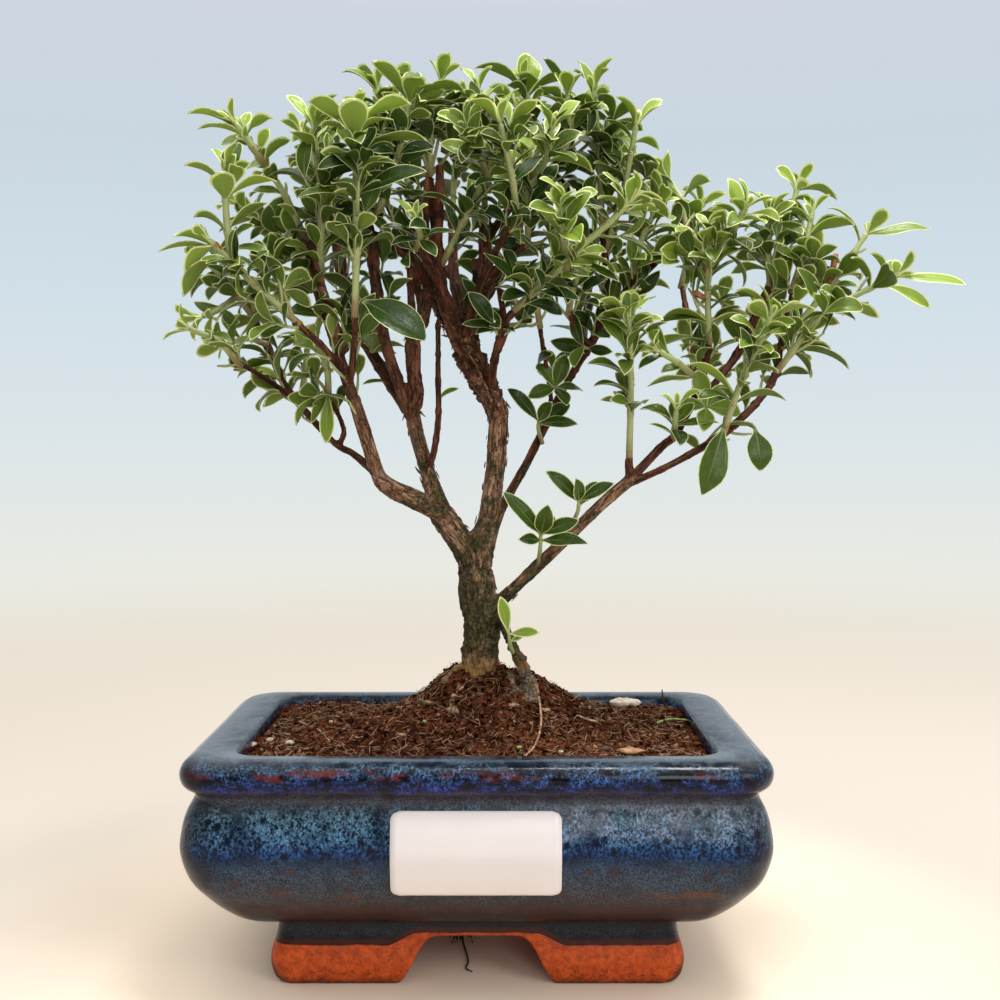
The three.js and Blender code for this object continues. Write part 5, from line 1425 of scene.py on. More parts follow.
def make_fibres():
    """Short peat fibres lying every way on the surface."""
    rng = np.random.default_rng(22)
    shape = Shape()
    places, normals = scatter(rng, FIBRES, margin=3)
    for place, normal in zip(places, normals):
        length = rng.uniform(1.2, 4.5) * (1.7 if rng.random() < 0.05 else 1)
        heading = rng.normal(size=3)
        heading = unit(heading - normal * heading.dot(normal) * 0.75)
        curl = unit(rng.normal(size=3)) * length * 0.25
        share = np.linspace(-0.5, 0.5, 4)[:, None]
        line = place + normal * rng.uniform(0.1, 0.7) + heading * share * length + curl * (share**2 - 0.12)
        radius = rng.uniform(0.06, 0.15)
        tube(shape, line, radius * np.array([0.7, 1, 1, 0.6]), 3, (rng.random() ** 1.4, rng.random(), 0, 0))
    shape.piece("peat_fibres", [FIBRE], "potting_soil")


def on_soil(x, y, depth=None):
    """The place on the soil seen at a pixel; where that shows no soil, one at `depth` or the nearest."""
    places = np.array([seen_at(x, y, at) for at in np.linspace(-SOIL_HALF_DEPTH, SOIL_HALF_DEPTH, 300)])
    gaps = places[:, 2] - soil_surface(places[:, 0], places[:, 1])
    if gaps.min() > 0 and depth is not None:
        return seen_at(x, y, depth)
    place = places[np.argmax(gaps < 0) if gaps.min() < 0 else np.argmin(gaps)]
    return place - [0, 0, max(gaps.min(), 0)]


def make_litter():
    """Small stones, green and dry bits, and loose roots on the soil."""
    rng = np.random.default_rng(23)
    shape = Shape()
    for x, y, size, kind in SOIL_BITS:
        flatness = 0.45 if kind == DRY_LEAF else 0.8
        bit = BALL_POINTS * rng.uniform(0.8, 1.2, (12, 1)) @ random_turn(rng) * [1.2, 1, flatness]
        shape.add(on_soil(x, y) + bit * size, triangles=BALL_FACES, kind=kind)
    for pixels, radius, kind in SOIL_STICKS:
        line = [on_soil(*pixels[0])]
        for pixel in pixels[1:]:
            line.append(on_soil(*pixel, depth=line[-1][1]) + [0, 0, radius * 0.6])
        line = smooth_line(line, 4)
        tube(shape, line, radius * np.linspace(1.1, 0.7, len(line)), 6, kind=kind)
    materials = [
        plain_material("grit", (0.36, 0.27, 0.19), (0.62, 0.52, 0.42), 1.5, 0.8),
        plain_material("green_bit", (0.10, 0.17, 0.03), (0.30, 0.40, 0.10), 1.2, 0.6),
        plain_material("dry_leaf", (0.20, 0.10, 0.045), (0.50, 0.31, 0.17), 1.2, 0.7),
        plain_material("charcoal", (0.012, 0.008, 0.007), (0.050, 0.030, 0.022), 1.2, 0.6),
    ]
    shape.piece("soil_litter", materials, "potting_soil")


def make_drain_roots():
    """Fine dead roots that hang out of the drain hole, one of them lying under the foot."""
    rng = np.random.default_rng(24)
    shape = Shape()
    for _ in range(DRAIN_ROOTS):
        top = np.array([rng.uniform(-5.5, 1), rng.uniform(-5, 3), FLOOR_BOTTOM + 1.5])
        low = np.array([rng.uniform(-11, -2), rng.uniform(-9, -2), rng.uniform(1.0, 7)])
        line = smooth_line([top, (top + low) / 2 + rng.normal(0, 1.2, 3), low], 3)
        tube(shape, line, np.linspace(0.45, 0.2, len(line)), 4)
    line = smooth_line(LOOSE_ROOT, 5)
    tube(shape, line, np.linspace(0.35, 0.22, len(line)), 5)
    root = plain_material("dead_root", (0.020, 0.011, 0.007), (0.075, 0.045, 0.025), 1.0, 0.9)
    shape.piece("drain_roots", [root], "bark")


def roughen(name, piece_name, material, voxel, amount):
    """A finer stone or flake in the place of a packed one."""
    mesh = evaluated(
        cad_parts[name].data.copy(),
        ("REMESH", {"mode": "VOXEL", "voxel_size": voxel * MM}),
        ("SMOOTH", {"factor": 0.5, "iterations": 3}),
    )
    mesh.materials.clear()
    points, normals = mesh_points(mesh)
    raised = amount * fractal(points, 2.2, 4, 3.3)
    set_points(mesh, points + normals * raised[:, None], np.zeros((len(points), 4)))
    add_piece(mesh, piece_name, [material], [name])


def make_stone_and_flake():
    stone = plain_material("stone", (0.40, 0.33, 0.25), (0.68, 0.60, 0.50), 2.0, 0.8)
    roughen("pale_stone", "rough_stone", stone, voxel=0.3, amount=0.45)
    flake = plain_material("flake", (0.20, 0.10, 0.05), (0.42, 0.24, 0.12), 2.0, 0.85)
    roughen("bark_flake", "rough_flake", flake, voxel=0.25, amount=0.3)


def colour_net():
    """The drain's net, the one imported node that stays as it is."""
    black = plain_material("black_net", (0.012, 0.012, 0.013), (0.03, 0.03, 0.03), 1.0, 0.5, 0.2)
    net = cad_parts["drain_mesh"].data
    net.materials.clear()
    net.materials.append(black)


# ---- wood ---------------------------------------------------------------------------------


# Columns of a branch sample.
PLACE = slice(0, 3)
HEIGHT = 2
RADIUS = 3
HEADING = slice(4, 7)
ALONG = 7
BRANCH = 8
NEAR_SAMPLES = 8  # how many are looked at to find the branch that a point of the bark belongs to
THINNEST_WITH_SHREDS = 1.9
LOWEST_WITH_SHREDS = 108
SHREDS = 330
FLAKY_FROM = 172  # height above which the middle stem's bark peels


def branch_samples():
    """Rows for points along every branch, about a millimetre apart, with the columns named above."""
    rows = []
    for number, branch in enumerate(BRANCHES.values()):
        line = smooth_line(branch, 10)
        tangents = np.gradient(line[:, :3], axis=0)
        tangents /= np.linalg.norm(tangents, axis=1)[:, None]
        steps = np.linalg.norm(np.diff(line[:, :3], axis=0), axis=1)
        distance = np.concatenate([[0], np.cumsum(steps)])
        rows.append(np.column_stack([line, tangents, distance, np.full(len(line), number)]))
    return np.vstack(rows)


def on_branches(points, samples):
    """For each point, the row of the branch sample whose bark it belongs to."""
    tree = KDTree(len(samples))
    for index, row in enumerate(samples):
        tree.insert(Vector(row[PLACE]), index)
    tree.balance()
    chosen = []
    for point in points:
        near = tree.find_n(Vector(point), NEAR_SAMPLES)
        chosen.append(min(near, key=lambda found: found[2] - samples[found[1], RADIUS])[1])
    return np.array(chosen)


def step(value, low, high):
    """Smooth step from 0 at `low` to 1 at `high`, which may be the smaller one."""
    share = np.clip((value - low) / (high - low), 0, 1)
    return share * share * (3 - 2 * share)


def fused_wood():
    """The branches, the inner stems and the mound's roots as rods, fused into one smooth mesh."""
    shape = Shape()
    for name, branch in BRANCHES.items():
        line = smooth_line(branch, 4)
        radius = line[:, 3]
        grown = step(np.linalg.norm(line[:, :3] - line[0, :3], axis=1), 1, 12)
        girth = 1 + (GIRTH_OF_BARK.get(name, 1) - 1) * grown
        radius = radius * girth + 0.15 * (radius < 2)
        tube(shape, line[:, :3], radius, 18 if radius.max() > 2.6 else 12)
    for stem, radius in INNER_STEMS:
        line = smooth_line([seen_at(*place) for place in stem], 5)
        tube(shape, line, np.linspace(radius, 0.7 * radius, len(line)), 10)
    for pixels, first, last in MOUND_ROOTS:
        line = smooth_line([on_soil(*pixel) - [0, 0, 0.4 * first] for pixel in pixels], 5)
        tube(shape, line, np.linspace(first, last, len(line)), 10)
    return evaluated(
        shape.mesh("rods"),
        ("REMESH", {"mode": "VOXEL", "voxel_size": 0.62 * MM}),
        ("SMOOTH", {"factor": 0.5, "iterations": 4}),
    )


class NearWood:
    """What the nearest branch says of each point on the bark."""

    def __init__(self, points):
        samples = branch_samples()
        row = samples[on_branches(points, samples)]
        self.radius = row[:, RADIUS]
        self.tangent = row[:, HEADING]
        self.along = row[:, ALONG]
        self.number = row[:, BRANCH]
        outward = points - row[:, PLACE]
        outward -= self.tangent * (outward * self.tangent).sum(1)[:, None]
        self.outward = outward / np.maximum(np.linalg.norm(outward, axis=1), 0.01)[:, None]
        self.thick = step(self.radius, 1.2, 4.5)


def bark_relief(points, wood):
    """How far the bark stands out at points, and a value that is 1 in its splits."""
    x, _, z = points.T
    girth = np.maximum(wood.radius, 1.2)[:, None]
    drawn_out = np.column_stack([wood.number * 5.3, wood.number * 1.7, wood.along * 0.16])
    grained = wood.outward * girth * 0.55 + drawn_out
    split = 1 - np.abs(fractal(grained, 1.0, 3, 2.2)) * 2.2
    scales = np.clip(fractal(grained * [1, 1, 0.9], 0.9, 3, 6.6) * 2.2, -0.7, 0.5)
    flaky = (0.04 + 0.40 * wood.thick) * (np.clip(split, -0.2, 1) - 0.6) + (0.08 + 0.42 * wood.thick) * scales
    low_trunk = step(z, 124, 100) * step(np.abs(x - 2), 26, 15)
    lumps = np.clip(fractal(points, 2.4, 3, 4.4), 0, 1) * low_trunk
    from_bud = wood.along % 9.5 - 4.7 + 1.5 * np.sin(wood.number * 3.1)
    buds = np.exp(-((from_bud / 0.9) ** 2)) * (1 - step(wood.radius, 1.9, 2.8))
    knotted = step(z, 174, 184) * step(z, 218, 206) * step(np.abs(x + 2), 14, 9) * step(wood.radius, 2.0, 3.0)
    smooth = step(z, 128, 138) * step(z, 176, 168)
    raised = (1 - 0.55 * smooth) * (flaky + 0.8 * lumps + 0.25 * buds) * (1 + 1.2 * knotted)
    raised = raised + (0.95 * fractal(points, 5.5, 2, 1.3) + 0.5 * fractal(points, 1.2, 3, 7.1)) * low_trunk
    raised = raised + 1.6 * knotted * np.clip(fractal(points, 4.2, 3, 8.8), -0.1, 1)
    return raised, split


def bark_looks(points, split, wood):
    """Moss, age, splits (darkened in the material, partly as painted shade) and cut ends of the bark at
    points.
    """
    x, y, z = points.T
    on_trunk = step(z, 90, 104) * step(z, 156, 108)
    on_limbs = 0.40 * step(z, 122, 130) * step(z, 178, 150)
    on_mound = 0.62 * step(np.hypot(x - TRUNK_X, y), 7, 8.5) * step(z, 98, 90)
    on_root = 0.5 * step(x, 6, 9) * step(z, 96, 88)
    given_age = np.array([AGE_OF_BARK.get(name, -1) for name in BRANCHES])[wood.number.astype(int)]
    age = np.where(given_age < 0, step(wood.radius, 1.3, 2.2), given_age)
    looks = np.zeros((len(points), 4))
    on_wood = np.maximum(on_trunk, on_limbs) * step(np.abs(x), 30, 20)
    looks[:, 0] = np.maximum(on_wood, np.maximum(on_root, on_mound))
    looks[:, 1] = age * (1 - 0.8 * step(z, 158, 186))
    # How deep a point lies in a split, which the bark darkens: partly its darker inside, partly painted
    # shade.
    looks[:, 2] = step(split, 0.5, -0.1) * (0.35 + 0.65 * wood.thick)
    for name, branch in BRANCHES.items():
        if "stub" in name:
            *end, radius = branch[-1]
            looks[np.linalg.norm(points - end, axis=1) < 1.25 * radius, 3] = 1
    return looks


def make_wood():
    mesh = fused_wood()
    points, normals = mesh_points(mesh)
    wood = NearWood(points)
    raised, split = bark_relief(points, wood)
    points = points + normals * raised[:, None]
    set_points(mesh, points, bark_looks(points, split, wood))
    round_branch = wood.outward * wood.radius[:, None] + wood.number[:, None] * 40
    along_branch = wood.tangent * (wood.along * 0.17)[:, None]
    grain = mesh.attributes.new("grain", "FLOAT_VECTOR", "POINT")
    grain.data.foreach_set("vector", (round_branch + along_branch).astype(np.float32).ravel())
    add_piece(mesh, "bark", [bark_material()], ["trunk_and_branches"])


def add_flake(shape, place, along, out, length, width, lift):
    """Thin curled scale of bark, fast at one end and lifted at the other."""
    across = np.cross(out, along)
    share = np.linspace(0, 1, 4)
    half = width / 2 * np.array([0.5, 1.0, 0.85, 0.25])
    centre = place + along * (share * length)[:, None] + out * (0.05 + lift * share**2)[:, None]
    corners = [(-1, 0.25), (0, 0.0), (1, 0.25), (1, 0.45), (0, 0.2), (-1, 0.45)]  # round a section
    rings = []
    for middle, breadth in zip(centre, half):
        rise = [up * min(breadth, 0.5) + (0.12 if up > 0.1 else 0) for _, up in corners]
        rings.append([middle + across * breadth * side + out * up for (side, _), up in zip(corners, rise)])
    points, quads = loft(np.array(rings))
    last = len(points) - len(corners)
    fan = range(1, len(corners) - 1)
    caps = [(0, i + 1, i) for i in fan] + [(last, last + i, last + i + 1) for i in fan]
    shape.add(points, quads, caps)


def make_bark_shreds():
    """Loose scales on the thicker wood above the mossy trunk, most where the middle stem flakes."""
    rng = np.random.default_rng(51)
    samples = branch_samples()
    wide_enough = samples[:, RADIUS] > THINNEST_WITH_SHREDS
    thick = samples[wide_enough & (samples[:, HEIGHT] > LOWEST_WITH_SHREDS)]
    flaky = (thick[:, HEIGHT] > FLAKY_FROM) & (np.abs(thick[:, 0] + 2) < 12)
    chance = thick[:, RADIUS] * np.where(flaky, 5, 1) * (0.05 + step(thick[:, HEIGHT], 112, 156))
    shape = Shape()
    for row in thick[rng.choice(len(thick), SHREDS, p=chance / chance.sum())]:
        axis = row[HEADING]
        out = rng.normal(size=3)
        out = unit(out - axis * out.dot(axis))
        along = unit(axis * rng.choice([-1, 1]) + np.cross(axis, out) * rng.normal(0, 0.35))
        on_bark = out * row[RADIUS] * rng.uniform(0.93, 1.03)
        place = row[PLACE] + on_bark + axis * rng.uniform(-0.6, 0.6)
        lift = rng.uniform(0.2, 1.1) if row[HEIGHT] > FLAKY_FROM else rng.uniform(0.0, 0.35)
        add_flake(shape, place, along, out, rng.uniform(1.2, 3.6), rng.uniform(0.5, 1.4), lift)
    shape.piece("bark_shreds", [SHRED], "dry_bark")


def make_dead_stubs():
    """Short brown stubs of cut stems, set on the stem or the wood that is seen nearest."""
    green = [StemCurve(stem).line for stems in SHOOTS.values() for stem in stems]
    carriers = np.vstack([branch_samples()[:, PLACE], *green])
    shape = Shape()
    for x, y, end_x, end_y, width in DEAD_STUBS:
        root = nearest_seen(carriers, x, y)
        end = seen_at(end_x, end_y, root[1] - 0.5)
        line = root + (end - root) * np.array([-0.1, 0.35, 0.8, 1])[:, None]
        tube(shape, line, width * 0.15 * np.array([0.85, 0.9, 1.05, 0.8]), 9)
    shape.piece("dead_stubs", [DEAD_WOOD], "bark")


# ---- leaves -------------------------------------------------------------------------------

# Share of a leaf's length, and its breadth there as a share of the widest.
LEAF_STATIONS = np.array([0, 0.06, 0.13, 0.22, 0.32, 0.43, 0.54, 0.65, 0.75, 0.84, 0.91, 0.965, 1.0])
YOUNG_BREADTHS = np.array([0.20, 0.20, 0.26, 0.41, 0.62, 0.82, 0.96, 1.0, 0.92, 0.72, 0.48, 0.24, 0.03])
OLD_BREADTHS = np.array([0.16, 0.19, 0.32, 0.57, 0.79, 0.94, 1.0, 0.97, 0.85, 0.64, 0.42, 0.21, 0.03])
ACROSS = np.array([-1, -0.5, 0, 0.5, 1, 0])  # round a section: over the top, back under the midrib
SIDES = len(ACROSS)
UNDERSIDE = SIDES - 1  # the point of a section that lies under the midrib
UPPER_FACE, LOWER_FACE = 1, 2  # material numbers, after the stem's


def turned(vectors, axes, angles):
    """Vectors turned about axes."""
    cosine, sine = np.cos(angles)[..., None], np.sin(angles)[..., None]
    along = (vectors * axes).sum(-1, keepdims=True)
    return vectors * cosine + np.cross(axes, vectors) * sine + axes * along * (1 - cosine)


def leaf_midribs(base, along, up, length, bend, rng):
    """For leaves, the midrib's places by station, and the directions across and off the blade there."""
    across = np.cross(along, up)
    across /= np.linalg.norm(across, axis=1)[:, None]
    face = np.cross(across, along)
    count = len(base)
    curl = rng.normal(0, 0.25, count) + 0.25
    angle = (bend[:, None] * LEAF_STATIONS + curl[:, None] * LEAF_STATIONS**4)[..., None]
    heading = along[:, None] * np.cos(angle) - face[:, None] * np.sin(angle)
    upward = face[:, None] * np.cos(angle) + along[:, None] * np.sin(angle)
    spans = np.diff(LEAF_STATIONS)[None, :, None]
    steps = (heading[:, 1:] + heading[:, :-1]) / 2 * spans * length[:, None, None]
    centre = base[:, None] + np.concatenate([np.zeros((count, 1, 3)), np.cumsum(steps, axis=1)], axis=1)
    twist = rng.normal(0, 0.28, count)[:, None] * LEAF_STATIONS
    sideways = turned(np.broadcast_to(across[:, None], heading.shape), heading, twist)
    return centre, sideways, turned(upward, heading, twist)


def leaf_half_breadths(width, youth, rng):
    """Half the breadth of leaves at each station."""
    taper = rng.uniform(-0.1, 0.1, len(width))[:, None]
    young = np.clip(1.7 * youth - 0.55, 0, 1)[:, None]
    breadth = (OLD_BREADTHS * (1 - young) + YOUNG_BREADTHS * young) * (1 + taper * (LEAF_STATIONS - 0.6) * 2)
    return np.maximum(width[:, None] / 2 * breadth, 0.3 * (1 - LEAF_STATIONS) + 0.05)


def leaf_faces(count):
    """For so many leaves: quads, their material numbers, end triangles and the points of sharp edges."""
    stations = len(LEAF_STATIONS)
    side = np.arange(SIDES)
    beside = (side + 1) % SIDES
    levels = np.arange(stations - 1)[:, None] * SIDES
    quads = np.stack([levels + side, levels + beside, levels + SIDES + beside, levels + SIDES + side], -1)
    kinds = np.tile(np.where(side < UNDERSIDE - 1, UPPER_FACE, LOWER_FACE), stations - 1)
    last = SIDES * (stations - 1)
    fan = range(1, SIDES - 1)
    caps = np.array([(0, i + 1, i) for i in fan] + [(last, last + i, last + i + 1) for i in fan])
    edges = np.concatenate([levels[:, 0], levels[:, 0] + UNDERSIDE - 1])
    starts = np.arange(count)[:, None, None] * SIDES * stations
    all_quads = (quads.reshape(-1, 4) + starts).reshape(-1, 4)
    all_caps = (caps + starts).reshape(-1, 3)
    return all_quads, np.tile(kinds, count), all_caps, (edges + starts[:, :, 0]).ravel()


def add_leaves(shape, leaves, rng):
    """Adds leaves, each given as base, along, up, length, width, bend, youth."""
    if not leaves:
        return
    base, along, up = (np.array([leaf[i] for leaf in leaves]) for i in range(3))
    length, width, bend, youth = (np.array([leaf[i] for leaf in leaves]) for i in range(3, 7))
    # Painted light, in part: leaves towards both sides of the crown are made younger and so paler, to
    # brighten the sides that catch more light; all leaves are made a little younger.
    mixed = np.sin(base @ (9.1, 4.3, 7.7))
    youth = youth + 0.05 + (0.22 + 0.22 * mixed) * step(np.abs(base[:, 0] - 5), 28, 52)
    centre, sideways, upward = leaf_midribs(base, along, up, length, bend, rng)
    half = leaf_half_breadths(width, youth, rng)
    count = len(leaves)
    share = LEAF_STATIONS
    fold = rng.uniform(0.15, 0.42, count)[:, None]
    wave = rng.uniform(0.0, 0.22, count)[:, None]
    phase = rng.uniform(0, 2 * math.pi, (count, 2))
    rings = np.empty((count, len(share), SIDES, 3))
    looks = np.empty((count, len(share), SIDES, 4))
    looks[..., 2] = share[:, None]
    looks[..., 3] = youth[:, None, None]
    for i, s in enumerate(ACROSS):
        ripple = wave * np.sin(share * 7.5 + phase[:, [0 if s < 0 else 1]]) * s * s
        rise = half * (fold * abs(s) + 0.5 * abs(s) * (1 - abs(s)) + ripple)
        sunk = 0.2 + 0.35 * (1 - share) if i == UNDERSIDE else 0 * share
        rings[:, :, i] = centre + sideways * (half * s)[..., None] + upward * (rise - sunk)[..., None]
        looks[:, :, i, 0] = np.minimum(half * (1 - abs(s)), (1 - share) * length[:, None] * 0.5)
        looks[:, :, i, 1] = abs(s) * half
    quads, kinds, caps, edges = leaf_faces(count)
    shape.add(rings.reshape(-1, 3), quads, caps, looks.reshape(-1, 4), kinds, edges)


def leaf_between(base, tip, width, up=(0.1, -1.1, 0.6), bend=0.35):
    """One leaf between two places, its upper face turned to `up`."""
    chord = tip - base
    across = unit(np.cross(chord, up))
    along = turned(unit(chord), across, np.array(bend / 2))
    return base, along, np.cross(across, along), np.linalg.norm(chord) * (1 + bend * bend / 24), width, bend


def leaf_tip(leaf, share=1):
    """Where a leaf's tip would be if it didn't bend, or the place at a share of the way to it."""
    base, along, _, length = leaf[:4]
    return base + along * length * share


def sighted_leaves(name, carrier):
    """The leaves given by pixels for a shoot, on the points of what carries them."""
    leaves = []
    for x, y, tip_x, tip_y, width, behind, youth, turned_back in SIGHTED_LEAVES.get(name, []):
        root = nearest_seen(carrier, x, y)
        tip = seen_at(tip_x, tip_y, root[1] + behind)
        width = width * (root[1] + behind / 2 - CAMERA_PLACE[1]) / FOCAL_PIXELS
        bend = 0.4
        if abs(turned_back) < 0.4:  # seen edge on
            width = max(width, 6.0)
            bend = 0.9
        leaves.append((*leaf_between(root, tip, width, (0.1, turned_back, 0.9), bend), youth))
    return leaves


# ---- shoots -------------------------------------------------------------------------------

FAR_FROM_WOOD = 20  # the look's distance from the wood for a twig that is green from its root
THICKEST_LEAFY_WOOD = 2.3
LOWEST_WITH_TUFTS = 160
LEAFY_HEIGHT = 200  # height over which a branch carries short leafy twigs
# The same height where a branch has another; 999 for a branch without any.
LEAFY_FROM = {
    "drooping": 167, "drooping_side": 0, "drooping_fork": 170, "low_left": 174, "far_left": 0,
    "front_twig": 190, "right_arm_upper": 184, "right_arm_lower": 166, "right_inner": 190,
    "right_back": 190, "middle_upright": 188, "thin_upright": 999, "centre": 999, "left_mid": 214,
    "centre_stem": 240, "right_stem": 236, "left_stem": 236, "back_stem": 225, "crown_front": 226,
    "crown_front_right": 232, "crown_right": 226,
}


class StemCurve:
    """Centripetal Catmull-Rom curve through a stem's points, read by the distance along it."""

    def __init__(self, points):
        points = np.asarray(points, float)
        padded = np.vstack([2 * points[0] - points[1], points, 2 * points[-1] - points[-2]])
        rows = []
        for share in np.linspace(0, len(points) - 1, 201):
            span = min(int(share), len(points) - 2)
            rows.append(self.span_point(padded[span:span + 4], share - span))
        self.line = np.array(rows)
        steps = np.linalg.norm(np.diff(self.line, axis=0), axis=1)
        self.reached = np.concatenate([[0], np.cumsum(steps)])
        self.length = self.reached[-1]

    @staticmethod
    def span_point(knots, share):
        a, b, c, d = knots
        before, here, after = (np.sum((q - p) ** 2) ** 0.25 for p, q in ((a, b), (b, c), (c, d)))
        leaving = ((b - a) / before - (c - a) / (before + here) + (c - b) / here) * here
        arriving = ((c - b) / here - (d - b) / (here + after) + (d - c) / after) * here
        return (
            b + leaving * share + (3 * (c - b) - 2 * leaving - arriving) * share**2
            + (2 * (b - c) + leaving + arriving) * share**3
        )

    def point(self, distance):
        return np.array([np.interp(distance, self.reached, self.line[:, i]) for i in range(3)])

    def tangent(self, distance):
        return unit(self.point(distance + 0.05) - self.point(distance - 0.05))


class SeededRandom:
    """The same draws as the part's source, so the leaves stand where its leaves stand."""

    def __init__(self, seed):
        self.state = seed

    def __call__(self):
        self.state = self.state * 16807 % 2147483647
        return self.state / 2147483647


def square_to(axis, turn):
    """Direction square to an axis, turned about it by an angle."""
    return turned(unit(np.cross(axis, (0.3, 0.2, 0.9))), axis, np.array(turn))


def spread_blade(axis, radial, spread):
    """Directions along a leaf and up from it, where it stands off its axis by an angle."""
    along = axis * math.cos(spread) + radial * math.sin(spread)
    up = axis * math.sin(spread) - radial * math.cos(spread)
    return along, up


BELOW_TIP = 5  # where a rule leaf's row holds its distance below the stem's tip


def leaf_rule(curve, random):
    """Leaves in crossed pairs up one stem, closer together and more upright towards its tip."""
    leaves = []
    first_turn = random() * math.pi
    below, pair = 0.6, 0
    while below < 0.88 * curve.length:
        distance = curve.length - below
        base, axis = curve.point(distance), curve.tangent(min(distance, curve.length - 0.06))
        side = unit(np.array([-axis[1], axis[0], 0.01]))
        spread = 0.45 if pair == 0 else min(0.7 + 0.12 * pair, 1)
        for twin in range(2):
            turn = first_turn + pair * math.pi / 2 + twin * math.pi + 0.5 * (random() - 0.5)
            radial = turned(side, axis, np.array(turn))
            along, up = spread_blade(axis, radial, spread)
            size = (0.8 if pair == 0 else 1) * (0.85 + 0.3 * random())
            bend = 0.5 + 0.5 * random()
            leaves.append((base, along, up, size, bend, below, pair, axis, radial))
        pair += 1
        below += NODE_SPACING + NODE_SPACING_GROWTH * pair
    return leaves


def youth_at(below, rng):
    """How young a leaf looks at a distance from its shoot's tip."""
    return float(np.clip(1.12 - below / 14 + rng.normal(0, 0.2), 0, 1)) ** 1.4


def add_stem(shape, curve, radius, tip_radius, nodes, root=0.0):
    """Green rod with swollen nodes; `root` is how far it reaches back into the wood."""
    distances = np.linspace(0, curve.length, max(5, int(curve.length / 1.3)))
    line = np.array([curve.point(d) for d in distances])
    line[0] -= curve.tangent(0.06) * root
    near = sum((np.exp(-(((distances - n) / 0.9) ** 2)) for n in nodes), np.zeros(len(distances)))
    radii = np.interp(distances, [0, curve.length], [radius, tip_radius]) + 0.28 * np.clip(near, 0, 1)
    radii[-1] *= 0.55
    youth = np.clip(1 - (curve.length - distances) / 16, 0, 1)
    looks = np.column_stack([np.clip(near, 0, 1), distances, np.zeros(len(distances)), youth])
    tube(shape, line, radii, 8, looks, 0)


def kept_in_crown(leaves):
    """Those leaves whose middles and tips show inside the crown."""
    if not leaves:
        return leaves
    tips, middles = (np.array([leaf_tip(leaf, share) for leaf in leaves]) for share in (0.9, 0.5))
    fits = in_crown(tips) & in_crown(middles)
    return [leaf for leaf, fit in zip(leaves, fits) if fit]


def add_twig(shape, leaves, base, axis, radial, below, rng):
    """Short side twig in a leaf's axil, with small leaves of its own."""
    length = rng.uniform(1.5, 4 + min(0.35 * below, 9))
    lean = rng.uniform(0.4, 0.9)
    heading = axis * math.cos(lean) + radial * math.sin(lean)
    middle = base + heading * length * 0.5
    end = middle + unit(heading + axis * 0.5) * length * 0.5
    curve = StemCurve([base, middle, end])
    line = [curve.point(share * curve.length) for share in (0, 0.33, 0.67, 1)]
    tube(shape, line, (0.6, 0.5, 0.5, 0.35), 5, (0, FAR_FROM_WOOD, 0, youth_at(below, rng)))
    turn = rng.uniform(0, math.pi)
    down, pair = 0.2, 0
    pairs = 1 if rng.random() < 0.6 else 2
    while down < curve.length and pair < pairs:
        place, twig_axis = curve.point(curve.length - down), curve.tangent(curve.length - down - 0.06)
        for twin in range(2):
            out = square_to(twig_axis, turn + pair * math.pi / 2 + twin * math.pi + rng.normal(0, 0.2))
            along, up = spread_blade(twig_axis, out, 0.5 + 0.3 * pair)
            size = rng.uniform(9.5, 14.0)
            width, bend = size * rng.uniform(0.37, 0.47), rng.uniform(0.2, 1.2)
            leaves.append((place, along, up, size, width, bend, youth_at(below + down, rng)))
        down += rng.uniform(2.8, 4.5)
        pair += 1


def add_fillings(shape, leaves, curve, rule, rng):
    """A pair of leaves between each two of the rule's pairs, some with a twig beside them."""
    for low, high in zip(rule[:-2:2], rule[2::2]):
        below = (low[BELOW_TIP] + high[BELOW_TIP]) / 2
        base, axis = curve.point(curve.length - below), curve.tangent(curve.length - below)
        turn = rng.uniform(0, math.pi)
        for twin in range(2):
            radial = square_to(axis, turn + twin * math.pi)
            along, up = axis * 0.7 + radial * 0.7, axis * 0.7 - radial * 0.7
            size = rng.uniform(10, 14)
            bend = rng.uniform(0.4, 1.1)
            leaves.append((base, along, up, size, size * 0.43, bend, youth_at(below, rng)))
            if rng.random() < 0.5:
                add_twig(shape, leaves, base, axis, radial, below, rng)


def tip_leaves(curve, share_of_size, rng):
    """Four upright young leaves round a stem's tip, two larger and two smaller."""
    axis = curve.tangent(curve.length - 0.1)
    turn = rng.uniform(-0.4, 0.4)
    leaves = []
    for quarter in range(4):
        out = square_to(axis, turn + quarter * math.pi / 2)
        outer = quarter % 2 == 0
        along = unit(axis + out * (0.45 if outer else 0.2))
        size = share_of_size * (rng.uniform(8, 11.5) if outer else rng.uniform(4, 6.5))
        leaves.append((curve.point(curve.length - 0.3), along, -out, size, 0.36 * size, 0.6, 1.0))
    return leaves


